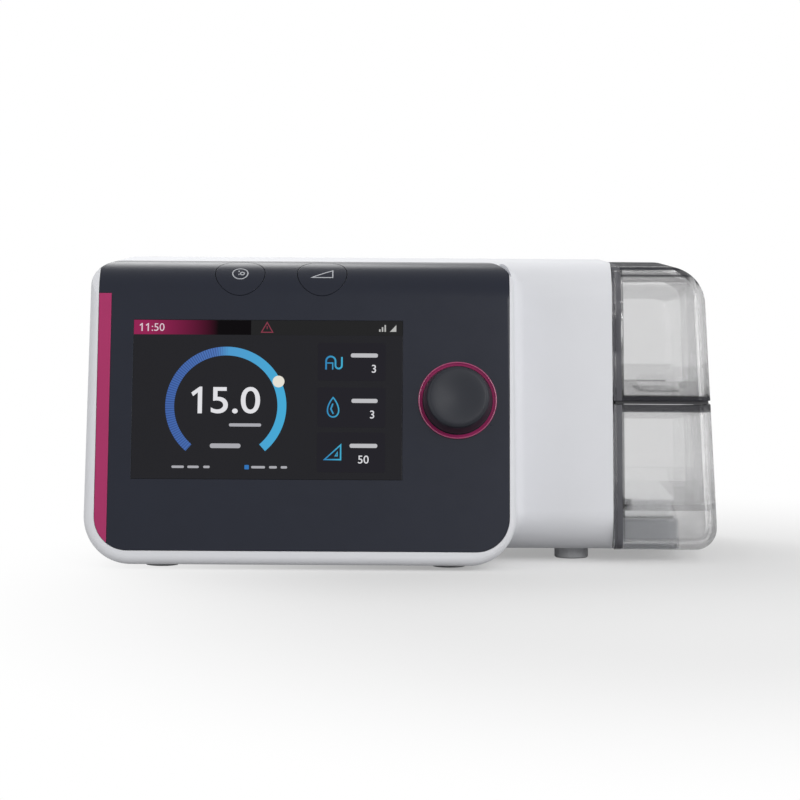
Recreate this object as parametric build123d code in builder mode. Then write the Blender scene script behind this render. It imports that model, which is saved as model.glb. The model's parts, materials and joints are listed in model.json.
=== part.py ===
from build123d import *

# Bedside CPAP machine: a casing with a display pod and a humidifier section, and a clear water
# tank that docks at its right end. Millimetres. X runs to the right seen from the front, Y to the
# rear and Z up. The origin is on the ground, at the centre of the whole machine's outline.

import os
from math import cos, radians, sin, sqrt, tan

os.makedirs("parts", exist_ok=True)

# ---------------------------------------------------------------- driving dimensions
# Body
HEIGHT = 122.5  # top of the casing above the ground
BODY_DEPTH = 150.0  # foot of the leaning front to the rear wall
LEAN = 15.0  # degrees that the front leans back
POD_WIDTH = 174.5
HUMIDIFIER_WIDTH = 40.75
TANK_WIDTH = 42.85
DOCK_GAP = 0.4  # casing to docked tank
POD_STEP = 28.0  # pod front ahead of the humidifier front
FOOT_HEIGHT = 2.0
HUMIDIFIER_LIFT = 2.8  # humidifier underside above the pod underside
WALL = 2.5
TOP_ROUND = 19.0  # front top edge
REAR_ROUND = 8.0  # rear top edge
TOE_ROUND = 13.0  # front lower edge of the humidifier
POD_CORNER = 19.0  # lower corners of the pod
TOP_CORNER = 10.0  # upper side corners of the pod
RIM_ROUND = 2.8  # edge of the pod front
SIDE_DRAFT = 1.0  # each side is this much narrower at the top

# Front panel
RIM_LEFT = 4.4
RIM_RIGHT = 2.8
RIM_BOTTOM = 5.6
PANEL_THICKNESS = 2.2
PANEL_CORNER = 13.5
PANEL_LAP = 13.0  # how far the panel runs on over the flat top
PANEL_LAP_CORNER = 3.0
PANEL_CLEARANCE = 0.15
GLUE = 0.1
STRIPE_WIDTH = 5.2
STRIPE_TOP = 110.0
STRIPE_THICKNESS = 0.8

# Display
DISPLAY_FROM_LEFT = 18.9  # left side to the picture
DISPLAY_TO_KNOB = 22.25  # picture to the knob's axis
DISPLAY_BASE = 37.1  # foot of the picture, up the leaning front
DISPLAY_TOP_GAP = 9.34  # picture to the start of the top curve
LCD_SIDE = 4.3  # dark border of the module at each side
LCD_TOP = 3.0
LCD_BOTTOM = 6.0
LCD_THICKNESS = 3.5
LCD_RECESS = 0.2  # glass below the rim of the module
LCD_CLEARANCE = 0.5
BRACKET_SHEET = 1.0
BRACKET_CLEARANCE = 1.0
BRACKET_LIP = 8.0
BRACKET_FLANGE = 2.0
PCB = 1.6
CONTROL_BOARD_DEPTH = 9.0  # front of the control board behind the front surface
CONTROL_BOARD_DROP = 3.0  # centre of the board below the centre of the picture
CONTROL_BOARD_SHORTER = 3.8  # than the picture, up the front
CONTROL_BOARD_LEFT_GAP = 1.8
CONTROL_BOARD_RIGHT_GAP = 5.75
CONTROL_SCREW_LEFT = 3.5
CONTROL_SCREW_RIGHT = 4.0
CONTROL_SCREW_END = 5.0
CONTROL_BOSS_RADIUS = 2.8
BOSS_ROOT = 0.5  # that a boss runs into its wall

# Knob
KNOB_FROM_RIGHT = 23.95
KNOB_RADIUS = 13.9
KNOB_FACE_RADIUS = 12.6
KNOB_HEIGHT = 8.6
KNOB_STOP_GAP = 0.2  # left under the knob when it is pressed
KNOB_ROUND = 1.2
KNOB_FACE = 2.5
KNOB_WALL = 1.6
KNOB_BOSS = 2.0
RING_WIDTH = 1.65
RING_HEIGHT = 1.6
RING_CLEARANCE = 0.35
RING_CHAMFER = 0.3
SHAFT_RADIUS = 3.0
SHAFT_RUNNING = 0.05
PRESS_FIT = 0.02  # bore of a pressed-on piece over its shaft
BUSHING_RADIUS = 4.2
BUSHING_CLEARANCE = 0.3
BUSHING_DEPTH = 0.2
ENCODER_SIZE = 13.0
ENCODER_WALL = 0.7
ENCODER_FLOOR = 0.5
SHAFT_REACH = 0.9  # of the shaft's end into the encoder
PLUNGER_RADIUS = 4.0
PLUNGER_THICKNESS = 0.8
KNOB_PRESS = 0.5

# Buttons
BUTTON_RADIUS = 10.0
BUTTON_CLEARANCE = 0.25
BUTTON_PRESS = 0.8
BUTTON_TILT = 50.0  # degrees that the button axis rises
BUTTON_THICKNESS = 2.2
POWER_FROM_LEFT = 61.7
RAMP_FROM_LEFT = 95.2
BUTTON_BOARD_TOP = 5.0  # above the centre of the top curve
WELL_FLOOR = 6.0  # of a button well, above the centre of the top curve
STEM_RADIUS = 2.4
CARRIER_THICKNESS = 2.0
CARRIER_HALF = 6.4
CARRIER_END = 8.0
CARRIER_GAP = 0.5
SWITCH_HEIGHT = 3.4
SWITCH_SIZE = 6.0
SWITCH_PLUNGER = 1.0
SWITCH_GAP = 0.1

# Base
OVERCUT = 1.0  # that a cut starts before its surface
SPARE = 10.0  # that a trimming block stands past the body
MARGIN = 1.0  # kept free beside a boss, foot or plug
BASE_FROM_FRONT = 34.0
BASE_FROM_REAR = 8.0
LEDGE = 1.3
LEDGE_WIDTH = 7.0
PLATE_GAP = 0.2
BASE_CORNER = 6.0
FOOT_RADIUS = 7.0
FOOT_STUB = 1.2
FOOT_CHAMFER = 0.5
FOOT_FROM_SIDE = 31.0
FOOT_FROM_FRONT = 21.0
REAR_FOOT_FROM_SIDE = 36.0
DOCK_FOOT_INSET = 16.0
DOCK_FOOT_FROM_FRONT = 28.0
DOCK_FOOT_FROM_REAR = 20.0
SCREW_RADIUS = 1.25
SCREW_HEAD = 2.5
SCREW_HEAD_HEIGHT = 1.1
SCREW_SOCKET = 0.66
SCREW_CLEARANCE = 0.05
SHORT_SCREW = 5.2
LONG_SCREW = 8.0
BOSS_RADIUS = 3.4
BOSS_HEIGHT = 7.5

# Blower
BLOWER_RADIUS = 42.0
BLOWER_REAR_ROOM = 3.5
BLOWER_SIDE_ROOM = 8.25
MOUNT_HEIGHT = 11.5
MOUNT_RADIUS = 5.0
MOUNT_SPREAD = 30.0
BLOWER_WALL = 2.5
LOWER_HEIGHT = 26.0
UPPER_HEIGHT = 10.0
NECK_HEIGHT = 8.0
OUTLET_LIFT = 1.0  # outlet above the middle of the lower housing
OUTLET_STUB = 5.0
TUBE_RADIUS = 10.0
TUBE_WALL = 2.0
TUBE_BEND = 13.0
TUBE_GAP = 0.1  # between the ends of joined tubes
SLEEVE_CLEARANCE = 0.15
SLEEVE_LENGTH = 8.0
ROTOR_SHAFT_RADIUS = 1.5
MAGNET_RADIUS = 8.0
AIR_GAP = 0.7
STATOR_RADIUS = 15.0
STATOR_HEIGHT = 11.5
BEARING_RADIUS = 4.0
BEARING_HEIGHT = 2.5
IMPELLER_RADIUS = 34.0
IMPELLER_HEIGHT = 10.8
IMPELLER_DISC = 1.5
IMPELLER_HUB = 6.0
IMPELLER_GAP = 0.8
IMPELLER_BORE = 8.0
BLADE_COUNT = 11
BLADE_THICKNESS = 1.2
BLADE_START = 11.0
BLADE_END_GAP = 1.0
BLADE_SWEEP = 38.0
BLADE_TOP_GAP = 1.5
BEARING_SEAT = 2.0
STATOR_LIFT = 1.0
STATOR_RING = 2.5
STATOR_TEETH = 6
TOOTH_LENGTH = 6.0
TOOTH_WIDTH = 3.0
TOOTH_INSET = 4.0
CAP_SKIRT = 2.0
SHAFT_FLOOR_GAP = 0.3
LUG_RADIUS = 4.0
LUG_THICKNESS = 3.0
LUG_ANGLES = [45, 135, 200, 315]
HOUSING_ROUND = 4.0
MOUNT_LIP = 1.0
MOUNT_GROOVE = 2.0

# Inlet
BOX_WALL = 2.0
BOX_BOTTOM = 43.0
BOX_TOP = 87.0
BOX_SIDE_ROOM = 8.75
BOX_LENGTH = 85.0
FLAP_THICKNESS = 2.5
FLAP_GAP = 0.3
FLAP_PIN = 0.7
FLAP_PIN_LENGTH = 1.5
SLOT_COUNT = 6
SLOT_FIELD = 12.0  # flap height left without slots
SLOT_SIDES = 14.0  # flap width left without slots
SLOT_SHARE = 0.45  # open part of the pitch
SLOT_RISE = 1.0
FILTER_THICKNESS = 6.0
FILTER_CORNER = 2.0
FOAM_END = 20.0
FOAM_COVER = 2.0  # foam over the edge of the inlet tube
INLET_DROP = 1.0
SOFT_GAP = 0.3

# Rear sockets
BOARD_HEIGHT = 12.0  # underside of the main board above the ground
BOARD_SIDE_ROOM = 9.75
BOARD_LENGTH = 104.0
BOARD_REAR_GAP = 1.5
BOARD_TO_BLOWER = 5.0
BOARD_CORNER = 2.0
BOARD_SCREW_INSET = 5.0
BOARD_SCREW_FROM_REAR = 40.0
PLUG_LENGTH = 14.0
PLUG_DEPTH = 5.0
PLUG_HEIGHT = 3.5
DISPLAY_PLUG_INSET = 12.0
LEAD_WIDTH = 6.0
LEAD_THICKNESS = 1.0
LEAD_RISE = 0.5
LEAD_CLEARANCE = 0.5
LEAD_SLOT = 2.5
LEAD_PITCH = 12.0
HEATER_LEAD_SHIFT = 6.0
FLEX = 0.4
JACK_WIDTH = 9.5
JACK_DEPTH = 13.0
JACK_HEIGHT = 11.0
JACK_BORE = 3.2
JACK_BACK = 3.0
JACK_PIN = 1.0
JACK_COLLAR = 1.0
JACK_INSET = 8.0  # axis of the jack from the board's right edge
CARD_WIDTH = 24.0
CARD_THICKNESS = 2.1
CARD_LENGTH = 32.0
CARD_CHAMFER = 4.0
CARD_CLEARANCE = 0.1
CARD_INSET = 15.0  # middle of the card from the board's left edge
CARD_PROUD = 3.0  # card out of its socket
CARD_TO_WALL = 1.0
SOCKET_WALL = 1.0
CARD_DOOR_MARGIN = 4.0
CARD_DOOR_HEIGHT = 10.0
CARD_DOOR_DROP = 3.0

# Outlet
ELBOW_FROM_DOCK = 42.0
ELBOW_UP = 68.0
ELBOW_REACH = 17.0  # upright tube behind the rear wall
ELBOW_RADIUS = 12.5
ELBOW_BEND = 14.5
PORT_RADIUS = 11.0
PORT_LENGTH = 21.0
PORT_TOP = 106.0
ELBOW_BORE = 8.5
STUB_RADIUS = 10.5
SEAT_RUNNING = 0.08
SEAT_RADIUS = 15.8
SEAT_DEPTH = 12.0
SEAT_FLANGE = 3.0
SEAT_FLANGE_THICKNESS = 2.0
ELBOW_GAP = 1.0  # elbow's body to the rear wall
ORING_RADIUS = 1.0
ORING_GAP = 0.1
DUCT_FROM_DOCK = 22.0
OUTLET_RUN = 18.0
OUTLET_TUBE_BEND = 11.0
FLANGE = 2.0
FLANGE_LIP = 0.5
SENSOR_RISE = 30.0
SENSOR_PAD = 3.0
SENSOR_WIDTH = 12.0
SENSOR_LENGTH = 16.0
SENSOR_THICKNESS = 6.0
SENSOR_ROUND = 1.0
SENSOR_SEAT = 1.0  # pad narrower than the sensor, at each side
NIPPLE_RADIUS = 1.5
NIPPLE_LENGTH = 4.0
NIPPLE_PITCH = 7.0

# Dock
PORT_HEIGHT = 92.0
OUTLET_OFFSET = 30.0  # blower outlet, and the front port in line with it, ahead of the blower's axis
REAR_PORT_INSET = 32.0  # rear port ahead of the rear wall
DOCK_BORE = 9.0
SEAL_WIDTH = 3.0
SEAL_DEPTH = 1.5
SEAL_PROUD = 0.1
PLATFORM_LENGTH = 28.0
PLATFORM_TOP = 17.0
PLATFORM_FRONT = 46.0
PLATFORM_TO_REAR = 12.0
PLATFORM_ROUND = 5.0
PLATFORM_SCREW_INSET = 14.0
PLATFORM_SCREW_Z = 11.0
PLATFORM_SCREW_DEPTH = 6.0
HEATER_WIDTH = 23.0
HEATER_END_ROOM = 4.0  # heater plate to each end of the platform
HEATER_THICKNESS = 3.5
HEATER_TRAVEL = 1.5
HEATER_GAP = 0.3
HEATER_CORNER = 3.0
HEATER_SIDE_GAP = 0.5
HEATER_END_GAP = 0.5  # pocket deeper than the travel
GUIDE_RADIUS = 2.0
GUIDE_SPREAD = 60.0
GUIDE_CLEARANCE = 0.1
GUIDE_REACH = 1.5  # guide below the spring's seat
SPRING_RADIUS = 3.2
SPRING_WIRE = 0.7
SPRING_TURNS = 4
SPRING_SEAT = 9.5
SPRING_CLEARANCE = 0.5

# Tank
TANK_LIFT = 3.5  # tank underside above the pod underside
TANK_DROP = 1.2  # tank top below the casing top
TANK_WALL = 3.0
TANK_DOCK_WALL = 4.5
TANK_DRAFT = 4.6  # right side is this much further in at the top
TANK_TOP_CORNER = 16.0
TANK_LOW_CORNER = 9.0
TANK_RIM = 5.0
SEAM_HEIGHT = 65.35
SEAM_GAP = 1.7
FLOOR_TOP = 23.8
FLOOR_THICKNESS = 2.5
TUNNEL_GAP = 0.5
SEAL_INSET = 0.8
SEAL_BAND = 1.7
BAFFLE_THICKNESS = 2.0
BAFFLE_GAP = 0.1
BAFFLE_HOLE_LENGTH = 52.0
BAFFLE_HOLE_WIDTH = 18.0
HINGE_RADIUS = 3.2
HINGE_GAP = 0.4
HINGE_PIN_RADIUS = 1.5
HINGE_RUNNING = 0.05
KNUCKLE = 6.0
KNUCKLE_GAP = 0.3
HINGE_MARGIN = 8.0
HINGE_ROOT = 0.5  # of a knuckle's web in the wall
HEAT_LIP = 1.0
HEAT_CORNER = 3.0

# ---------------------------------------------------------------- derived places
X_LEFT = -(POD_WIDTH + HUMIDIFIER_WIDTH + DOCK_GAP + TANK_WIDTH) / 2
X_STEP = X_LEFT + POD_WIDTH
X_DOCK = X_STEP + HUMIDIFIER_WIDTH
X_TANK = X_DOCK + DOCK_GAP
X_RIGHT = X_TANK + TANK_WIDTH

LEAN_COS = cos(radians(LEAN))
LEAN_SIN = sin(radians(LEAN))
LEAN_TAN = tan(radians(LEAN))
POD_BASE = FOOT_HEIGHT
NOSE = (POD_BASE + RIM_ROUND) * LEAN_TAN + RIM_ROUND / LEAN_COS - RIM_ROUND
REAR_REACH = BODY_DEPTH + ELBOW_REACH + ELBOW_RADIUS
FRONT = -(NOSE + REAR_REACH) / 2
REAR = FRONT + BODY_DEPTH
REAR_INNER = REAR - WALL
HUMIDIFIER_BASE = POD_BASE + HUMIDIFIER_LIFT
TANK_BASE = POD_BASE + TANK_LIFT
TANK_TOP = HEIGHT - TANK_DROP
FLOOR_INNER = POD_BASE + WALL

PANEL_POCKET = PANEL_THICKNESS + GLUE
FRONT_SKIN = PANEL_POCKET + WALL
PANEL_LEFT = X_LEFT + RIM_LEFT
PANEL_RIGHT = X_STEP - RIM_RIGHT
PANEL_BOTTOM = POD_BASE + RIM_BOTTOM
KNOB_X = X_STEP - KNOB_FROM_RIGHT
POWER_X = X_LEFT + POWER_FROM_LEFT
RAMP_X = X_LEFT + RAMP_FROM_LEFT


def front_y(height, setback=0.0):
    """Y of the leaning front surface at a height."""
    return FRONT + setback + height * LEAN_TAN


ARC_Z = HEIGHT - TOP_ROUND
ARC_Y = front_y(ARC_Z) + TOP_ROUND / LEAN_COS
FRONT_LENGTH = (ARC_Z + TOP_ROUND * LEAN_SIN) / LEAN_COS  # up the leaning front to the curve
DISPLAY_WIDTH = POD_WIDTH - DISPLAY_FROM_LEFT - DISPLAY_TO_KNOB - KNOB_FROM_RIGHT
DISPLAY_HEIGHT = FRONT_LENGTH - DISPLAY_TOP_GAP - DISPLAY_BASE
DISPLAY_CENTRE = X_LEFT + DISPLAY_FROM_LEFT + DISPLAY_WIDTH / 2
DISPLAY_UP = DISPLAY_BASE + DISPLAY_HEIGHT / 2
KNOB_UP = DISPLAY_UP
BUTTON_COS = cos(radians(BUTTON_TILT))
BUTTON_SIN = sin(radians(BUTTON_TILT))

BLOWER_X = X_STEP - BLOWER_RADIUS - BLOWER_SIDE_ROOM
BLOWER_Y = REAR_INNER - BLOWER_RADIUS - BLOWER_REAR_ROOM
BLOWER_BASE = FLOOR_INNER + MOUNT_HEIGHT
BLOWER_SPLIT = BLOWER_BASE + LOWER_HEIGHT
BLOWER_TOP = BLOWER_SPLIT + UPPER_HEIGHT
FRONT_PORT_Y = BLOWER_Y - OUTLET_OFFSET
REAR_PORT_Y = REAR - REAR_PORT_INSET
PLATFORM_Y0 = FRONT + PLATFORM_FRONT
PLATFORM_Y1 = REAR - PLATFORM_TO_REAR
HEATER_LENGTH = PLATFORM_Y1 - PLATFORM_Y0 - 2 * HEATER_END_ROOM
OUTLET_Z = BLOWER_BASE + LOWER_HEIGHT / 2 + OUTLET_LIFT
OUTLET_END = BLOWER_X + BLOWER_RADIUS + OUTLET_STUB
ELBOW_X = X_DOCK - ELBOW_FROM_DOCK


# ---------------------------------------------------------------- planes and helpers
def panel_plane(x, up, depth=0.0):
    """Plane parallel to the leaning front, facing out, at a depth behind its surface."""
    return Plane(
        origin=(x, FRONT + up * LEAN_SIN + depth * LEAN_COS, up * LEAN_COS - depth * LEAN_SIN),
        x_dir=(1, 0, 0),
        z_dir=(0, -LEAN_COS, LEAN_SIN),
    )


def button_plane(x, height):
    """Plane square to the button axis, at a height above the centre of the top curve."""
    return Plane(
        origin=(x, ARC_Y - height * BUTTON_COS, ARC_Z + height * BUTTON_SIN),
        x_dir=(1, 0, 0),
        z_dir=(0, -BUTTON_COS, BUTTON_SIN),
    )


def corner_near(sketch, u, v):
    """Vertex of a sketch that lies nearest to a point in the sketch's own coordinates."""
    return min(sketch.vertices(), key=lambda corner: (corner.X - u) ** 2 + (corner.Y - v) ** 2)


def side_prism(x_from, x_to, setback, bottom, top, rear, top_round, rear_round, toe_round=0.0):
    """Side view of a body, with its leaning front and rounded edges, run along X."""
    low_y = front_y(bottom, setback)
    high_y = front_y(top, setback)
    with BuildPart() as prism:
        with BuildSketch(Plane.YZ.offset(x_from)) as view:
            with BuildLine():
                Polyline((low_y, bottom), (high_y, top), (rear, top), (rear, bottom), close=True)
            make_face()
            fillet(corner_near(view, high_y, top), radius=top_round)
            fillet(corner_near(view, rear, top), radius=rear_round)
            if toe_round:
                fillet(corner_near(view, low_y, bottom), radius=toe_round)
        extrude(amount=x_to - x_from)
    return prism.part


def body_form(
    left, right, setback, bottom, top, rear, low_corners, high_corners, drafts, rounds, rim=0.0, open_left=False
):
    """Front view run along Y and cut by the side view.

    low_corners, high_corners and drafts are (left, right); rounds are (top, rear, toe). A rim
    rounds the edges of the leaning face, all but the left one if open_left.
    """
    outline = [
        (left, bottom, low_corners[0]),
        (right, bottom, low_corners[1]),
        (right - drafts[1], top, high_corners[1]),
        (left + drafts[0], top, high_corners[0]),
    ]
    face_plane = Plane(
        origin=(0, FRONT + setback, 0), x_dir=(1, 0, 0), z_dir=(0, -LEAN_COS, LEAN_SIN)
    )
    spare = SPARE if rim else 0.0
    side = side_prism(left - OVERCUT, right + OVERCUT, setback, bottom - spare, top, rear, *rounds)
    with BuildPart() as form:
        with BuildSketch(Plane.XZ.offset(-FRONT)) as view:
            with BuildLine():
                Polyline(*[(x, z) for x, z, _ in outline], close=True)
            make_face()
            for x, z, radius in outline:
                if radius:
                    fillet(corner_near(view, x, z), radius=radius)
        extrude(amount=-(rear - FRONT))
        split(bisect_by=face_plane, keep=Keep.BOTTOM)
        if rim:
            edges_of_face = faces().filter_by(face_plane)[0].edges()
            if open_left:
                edges_of_face = edges_of_face.sort_by(Axis.X)[1:]
            fillet(edges_of_face, radius=rim)
        add(side, mode=Mode.INTERSECT)
    return form.part


def panel_form(clearance, thickness, right=None, top=None):
    """Curved sheet of the front panel: the pod's outer surface, a thickness deep.

    clearance draws its edges in; right and top end it early, as for the stripe.
    """
    left = PANEL_LEFT + clearance
    bottom = PANEL_BOTTOM + clearance
    right_edge = PANEL_RIGHT - clearance if right is None else right
    top_edge = HEIGHT + SPARE if top is None else top
    lap_end = ARC_Y + PANEL_LAP - clearance
    inner = side_prism(
        X_LEFT - OVERCUT, X_STEP + OVERCUT, thickness / LEAN_COS, POD_BASE - SPARE,
        HEIGHT - thickness, REAR, TOP_ROUND - thickness, REAR_ROUND,
    )
    with BuildPart() as sheet:
        add(pod_outer)
        with BuildSketch(Plane.XZ.offset(-FRONT + SPARE)) as view:
            with BuildLine():
                Polyline(
                    (left, bottom), (PANEL_RIGHT - clearance, bottom),
                    (PANEL_RIGHT - clearance, HEIGHT + SPARE), (left, HEIGHT + SPARE), close=True,
                )
            make_face()
            fillet(corner_near(view, left, bottom), radius=PANEL_CORNER - clearance)
            fillet(corner_near(view, PANEL_RIGHT - clearance, bottom), radius=PANEL_CORNER - clearance)
        extrude(amount=-(lap_end - FRONT + SPARE), mode=Mode.INTERSECT)
        with BuildSketch(Plane.XY) as plan:
            with BuildLine():
                Polyline(
                    (left, FRONT - SPARE), (right_edge, FRONT - SPARE), (right_edge, lap_end),
                    (left, lap_end), close=True,
                )
            make_face()
            if right is None:
                fillet(corner_near(plan, left, lap_end), radius=PANEL_LAP_CORNER)
                fillet(corner_near(plan, right_edge, lap_end), radius=PANEL_LAP_CORNER)
        extrude(amount=top_edge, mode=Mode.INTERSECT)
        add(inner, mode=Mode.SUBTRACT)
    return sheet.part


def bent_tube(points, outer, bore, bend):
    """Round tube along straight runs joined by arcs."""
    with BuildPart() as tube:
        with BuildLine() as route:
            FilletPolyline(*points, radius=bend)
        start = Plane(origin=route.line @ 0, z_dir=route.line % 0)
        with BuildSketch(start):
            Circle(outer)
            Circle(bore, mode=Mode.SUBTRACT)
        sweep()
    return tube.part


def ribbon(plane, points, width, thickness, bend):
    """Flat ribbon along a bent line in a plane, as wide as width square to the plane."""
    with BuildPart() as strip:
        with BuildLine(plane) as route:
            FilletPolyline(*points, radius=bend)
        start = Plane(origin=route.line @ 0, x_dir=plane.z_dir, z_dir=route.line % 0)
        with BuildSketch(start):
            Rectangle(width, thickness)
        sweep()
    return strip.part


def screw_group(planes, length):
    """Pan-head screws: each plane lies on the seat of a head and faces away from the shank."""
    with BuildPart() as screws:
        for plane in planes:
            with BuildSketch(plane):
                Circle(SCREW_HEAD)
            extrude(amount=SCREW_HEAD_HEIGHT)
            with BuildSketch(plane.offset(SCREW_HEAD_HEIGHT)):
                RegularPolygon(radius=SCREW_RADIUS, side_count=6)
            extrude(amount=-SCREW_SOCKET, mode=Mode.SUBTRACT)
            with BuildSketch(plane):
                Circle(SCREW_RADIUS)
            extrude(amount=-length)
    return screws.part


def write(part, name):
    """Label a finished piece and write it."""
    part.label = name
    export_step(part, f"parts/{name}.step")


# ---------------------------------------------------------------- body forms
pod_outer = body_form(
    X_LEFT, X_STEP, 0, POD_BASE, HEIGHT, REAR, (POD_CORNER, POD_CORNER), (TOP_CORNER, TOP_CORNER),
    (SIDE_DRAFT, SIDE_DRAFT), (TOP_ROUND, REAR_ROUND), rim=RIM_ROUND,
)
humidifier_outer = body_form(
    X_STEP - POD_WIDTH / 2, X_DOCK, POD_STEP, HUMIDIFIER_BASE, HEIGHT, REAR, (0, 0), (0, 0), (0, 0),
    (TOP_ROUND, REAR_ROUND, TOE_ROUND),
)
pod_inner = body_form(
    X_LEFT + WALL, X_STEP - WALL, FRONT_SKIN / LEAN_COS, FLOOR_INNER, HEIGHT - FRONT_SKIN, REAR_INNER,
    (POD_CORNER - WALL, POD_CORNER - WALL), (TOP_CORNER - WALL, TOP_CORNER - WALL),
    (SIDE_DRAFT, SIDE_DRAFT), (TOP_ROUND - FRONT_SKIN, REAR_ROUND - WALL),
)
humidifier_inner = body_form(
    X_STEP - POD_WIDTH / 2, X_DOCK - WALL, POD_STEP + WALL / LEAN_COS, HUMIDIFIER_BASE + WALL,
    HEIGHT - WALL, REAR_INNER, (0, 0), (0, 0), (0, 0),
    (TOP_ROUND - WALL, REAR_ROUND - WALL, TOE_ROUND - WALL),
)
panel_recess = panel_form(0, PANEL_POCKET)

# ---------------------------------------------------------------- base and feet
BASE_LEFT = X_LEFT + POD_CORNER + MARGIN
BASE_RIGHT = X_STEP - POD_CORNER - MARGIN
BASE_FRONT = FRONT + BASE_FROM_FRONT
BASE_REAR = REAR - BASE_FROM_REAR
BASE_X = (BASE_LEFT + BASE_RIGHT) / 2
BASE_Y = (BASE_FRONT + BASE_REAR) / 2
BASE_LENGTH = BASE_RIGHT - BASE_LEFT
BASE_WIDTH = BASE_REAR - BASE_FRONT
SCREW_INSET = LEDGE_WIDTH / 2
SCREW_PLACES = [
    (BASE_X + i * (BASE_LENGTH / 2 - SCREW_INSET), BASE_Y + j * (BASE_WIDTH / 2 - SCREW_INSET))
    for i in (-1, 0, 1)
    for j in (-1, 1)
]
FRONT_FEET = [
    (X_LEFT + FOOT_FROM_SIDE, FRONT + FOOT_FROM_FRONT),
    (X_STEP - POD_CORNER - FOOT_RADIUS - MARGIN, FRONT + FOOT_FROM_FRONT),
]
REAR_FEET = [(X_LEFT + REAR_FOOT_FROM_SIDE, BASE_REAR - LEDGE_WIDTH - FOOT_RADIUS - MARGIN)]
HUMIDIFIER_FEET = [
    (X_DOCK - DOCK_FOOT_INSET, FRONT + POD_STEP + DOCK_FOOT_FROM_FRONT),
    (X_DOCK - DOCK_FOOT_INSET, REAR - DOCK_FOOT_FROM_REAR),
]
FOOT_COUNT = len(FRONT_FEET + REAR_FEET + HUMIDIFIER_FEET)
FOOT_GROUPS = [
    (FRONT_FEET + REAR_FEET, POD_BASE),
    (HUMIDIFIER_FEET, HUMIDIFIER_BASE),
]

MOUNT_PLACES = [
    (BLOWER_X + i * MOUNT_SPREAD * sqrt(0.5), BLOWER_Y + j * MOUNT_SPREAD * sqrt(0.5))
    for i in (-1, 1)
    for j in (-1, 1)
]
BOARD_LEFT = X_LEFT + WALL + BOARD_SIDE_ROOM
BOARD_RIGHT = BLOWER_X - BLOWER_RADIUS - BOARD_TO_BLOWER
BOARD_REAR = REAR_INNER - BOARD_REAR_GAP
BOARD_FRONT = BOARD_REAR - BOARD_LENGTH
BOARD_TOP = BOARD_HEIGHT + PCB
BOARD_PLACES = [
    (x, y)
    for x in (BASE_LEFT + LEDGE_WIDTH + BOSS_RADIUS + MARGIN, BOARD_RIGHT - BOARD_SCREW_INSET)
    for y in (BOARD_FRONT + BOARD_SCREW_INSET, BOARD_REAR - BOARD_SCREW_FROM_REAR)
]

with BuildPart() as rubber_feet:
    for places, top in FOOT_GROUPS:
        for x, y in places:
            with BuildSketch(Plane.XY):
                with Locations((x, y)):
                    Circle(FOOT_RADIUS)
            extrude(amount=top)
            with BuildSketch(Plane.XY.offset(top)):
                with Locations((x, y)):
                    Circle(FOOT_RADIUS / 2)
            extrude(amount=FOOT_STUB)
    soles = faces().filter_by(Axis.Z).sort_by(Axis.Z)[:FOOT_COUNT]
    chamfer(soles.edges(), length=FOOT_CHAMFER)

with BuildPart() as base_plate:
    with BuildSketch(Plane.XY.offset(POD_BASE)):
        with Locations((BASE_X, BASE_Y)):
            RectangleRounded(BASE_LENGTH - 2 * PLATE_GAP, BASE_WIDTH - 2 * PLATE_GAP, BASE_CORNER)
    extrude(amount=LEDGE)
    with BuildSketch(Plane.XY.offset(POD_BASE + LEDGE)):
        with Locations((BASE_X, BASE_Y)):
            RectangleRounded(
                BASE_LENGTH - 2 * (LEDGE_WIDTH + PLATE_GAP),
                BASE_WIDTH - 2 * (LEDGE_WIDTH + PLATE_GAP),
                BASE_CORNER / 2,
            )
    extrude(amount=WALL - LEDGE)
    with BuildSketch(Plane.XY.offset(FLOOR_INNER)):
        with Locations(*BOARD_PLACES):
            Circle(BOSS_RADIUS)
    extrude(amount=BOARD_HEIGHT - FLOOR_INNER)
    with BuildSketch(Plane.XY.offset(BOARD_HEIGHT)):
        with Locations(*BOARD_PLACES):
            Circle(SCREW_RADIUS + SCREW_CLEARANCE)
    extrude(amount=-SHORT_SCREW, mode=Mode.SUBTRACT)
    with BuildSketch(Plane.XY.offset(POD_BASE)):
        with Locations(*SCREW_PLACES):
            Circle(SCREW_RADIUS + SCREW_CLEARANCE)
    extrude(amount=LEDGE, mode=Mode.SUBTRACT)
    with BuildSketch(Plane.XY.offset(POD_BASE)):
        with Locations(*REAR_FEET):
            Circle(FOOT_RADIUS / 2 + SCREW_CLEARANCE)
    extrude(amount=FOOT_STUB + SCREW_CLEARANCE, mode=Mode.SUBTRACT)

# ---------------------------------------------------------------- rear openings
BOX_LEFT = X_LEFT + WALL + SIDE_DRAFT + BOX_SIDE_ROOM
BOX_RIGHT = BOARD_RIGHT - MARGIN
FILTER_LEFT = BOX_LEFT + BOX_WALL
FILTER_RIGHT = BOX_RIGHT - BOX_WALL
FILTER_LOW = BOX_BOTTOM + BOX_WALL
FILTER_HIGH = BOX_TOP - BOX_WALL
CARD_X = BOARD_LEFT + CARD_INSET
CARD_DOOR_HALF = CARD_WIDTH / 2 + CARD_DOOR_MARGIN
CARD_LOW = BOARD_TOP - CARD_DOOR_DROP
CARD_HIGH = CARD_LOW + CARD_DOOR_HEIGHT
JACK_X = BOARD_RIGHT - JACK_INSET
JACK_Z = BOARD_TOP + JACK_HEIGHT / 2
FLAPS = [
    (FILTER_LEFT, FILTER_RIGHT, FILTER_LOW, FILTER_HIGH),
    (CARD_X - CARD_DOOR_HALF, CARD_X + CARD_DOOR_HALF, CARD_LOW, CARD_HIGH),
]
FLAP_Y = REAR - FLAP_THICKNESS / 2


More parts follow.
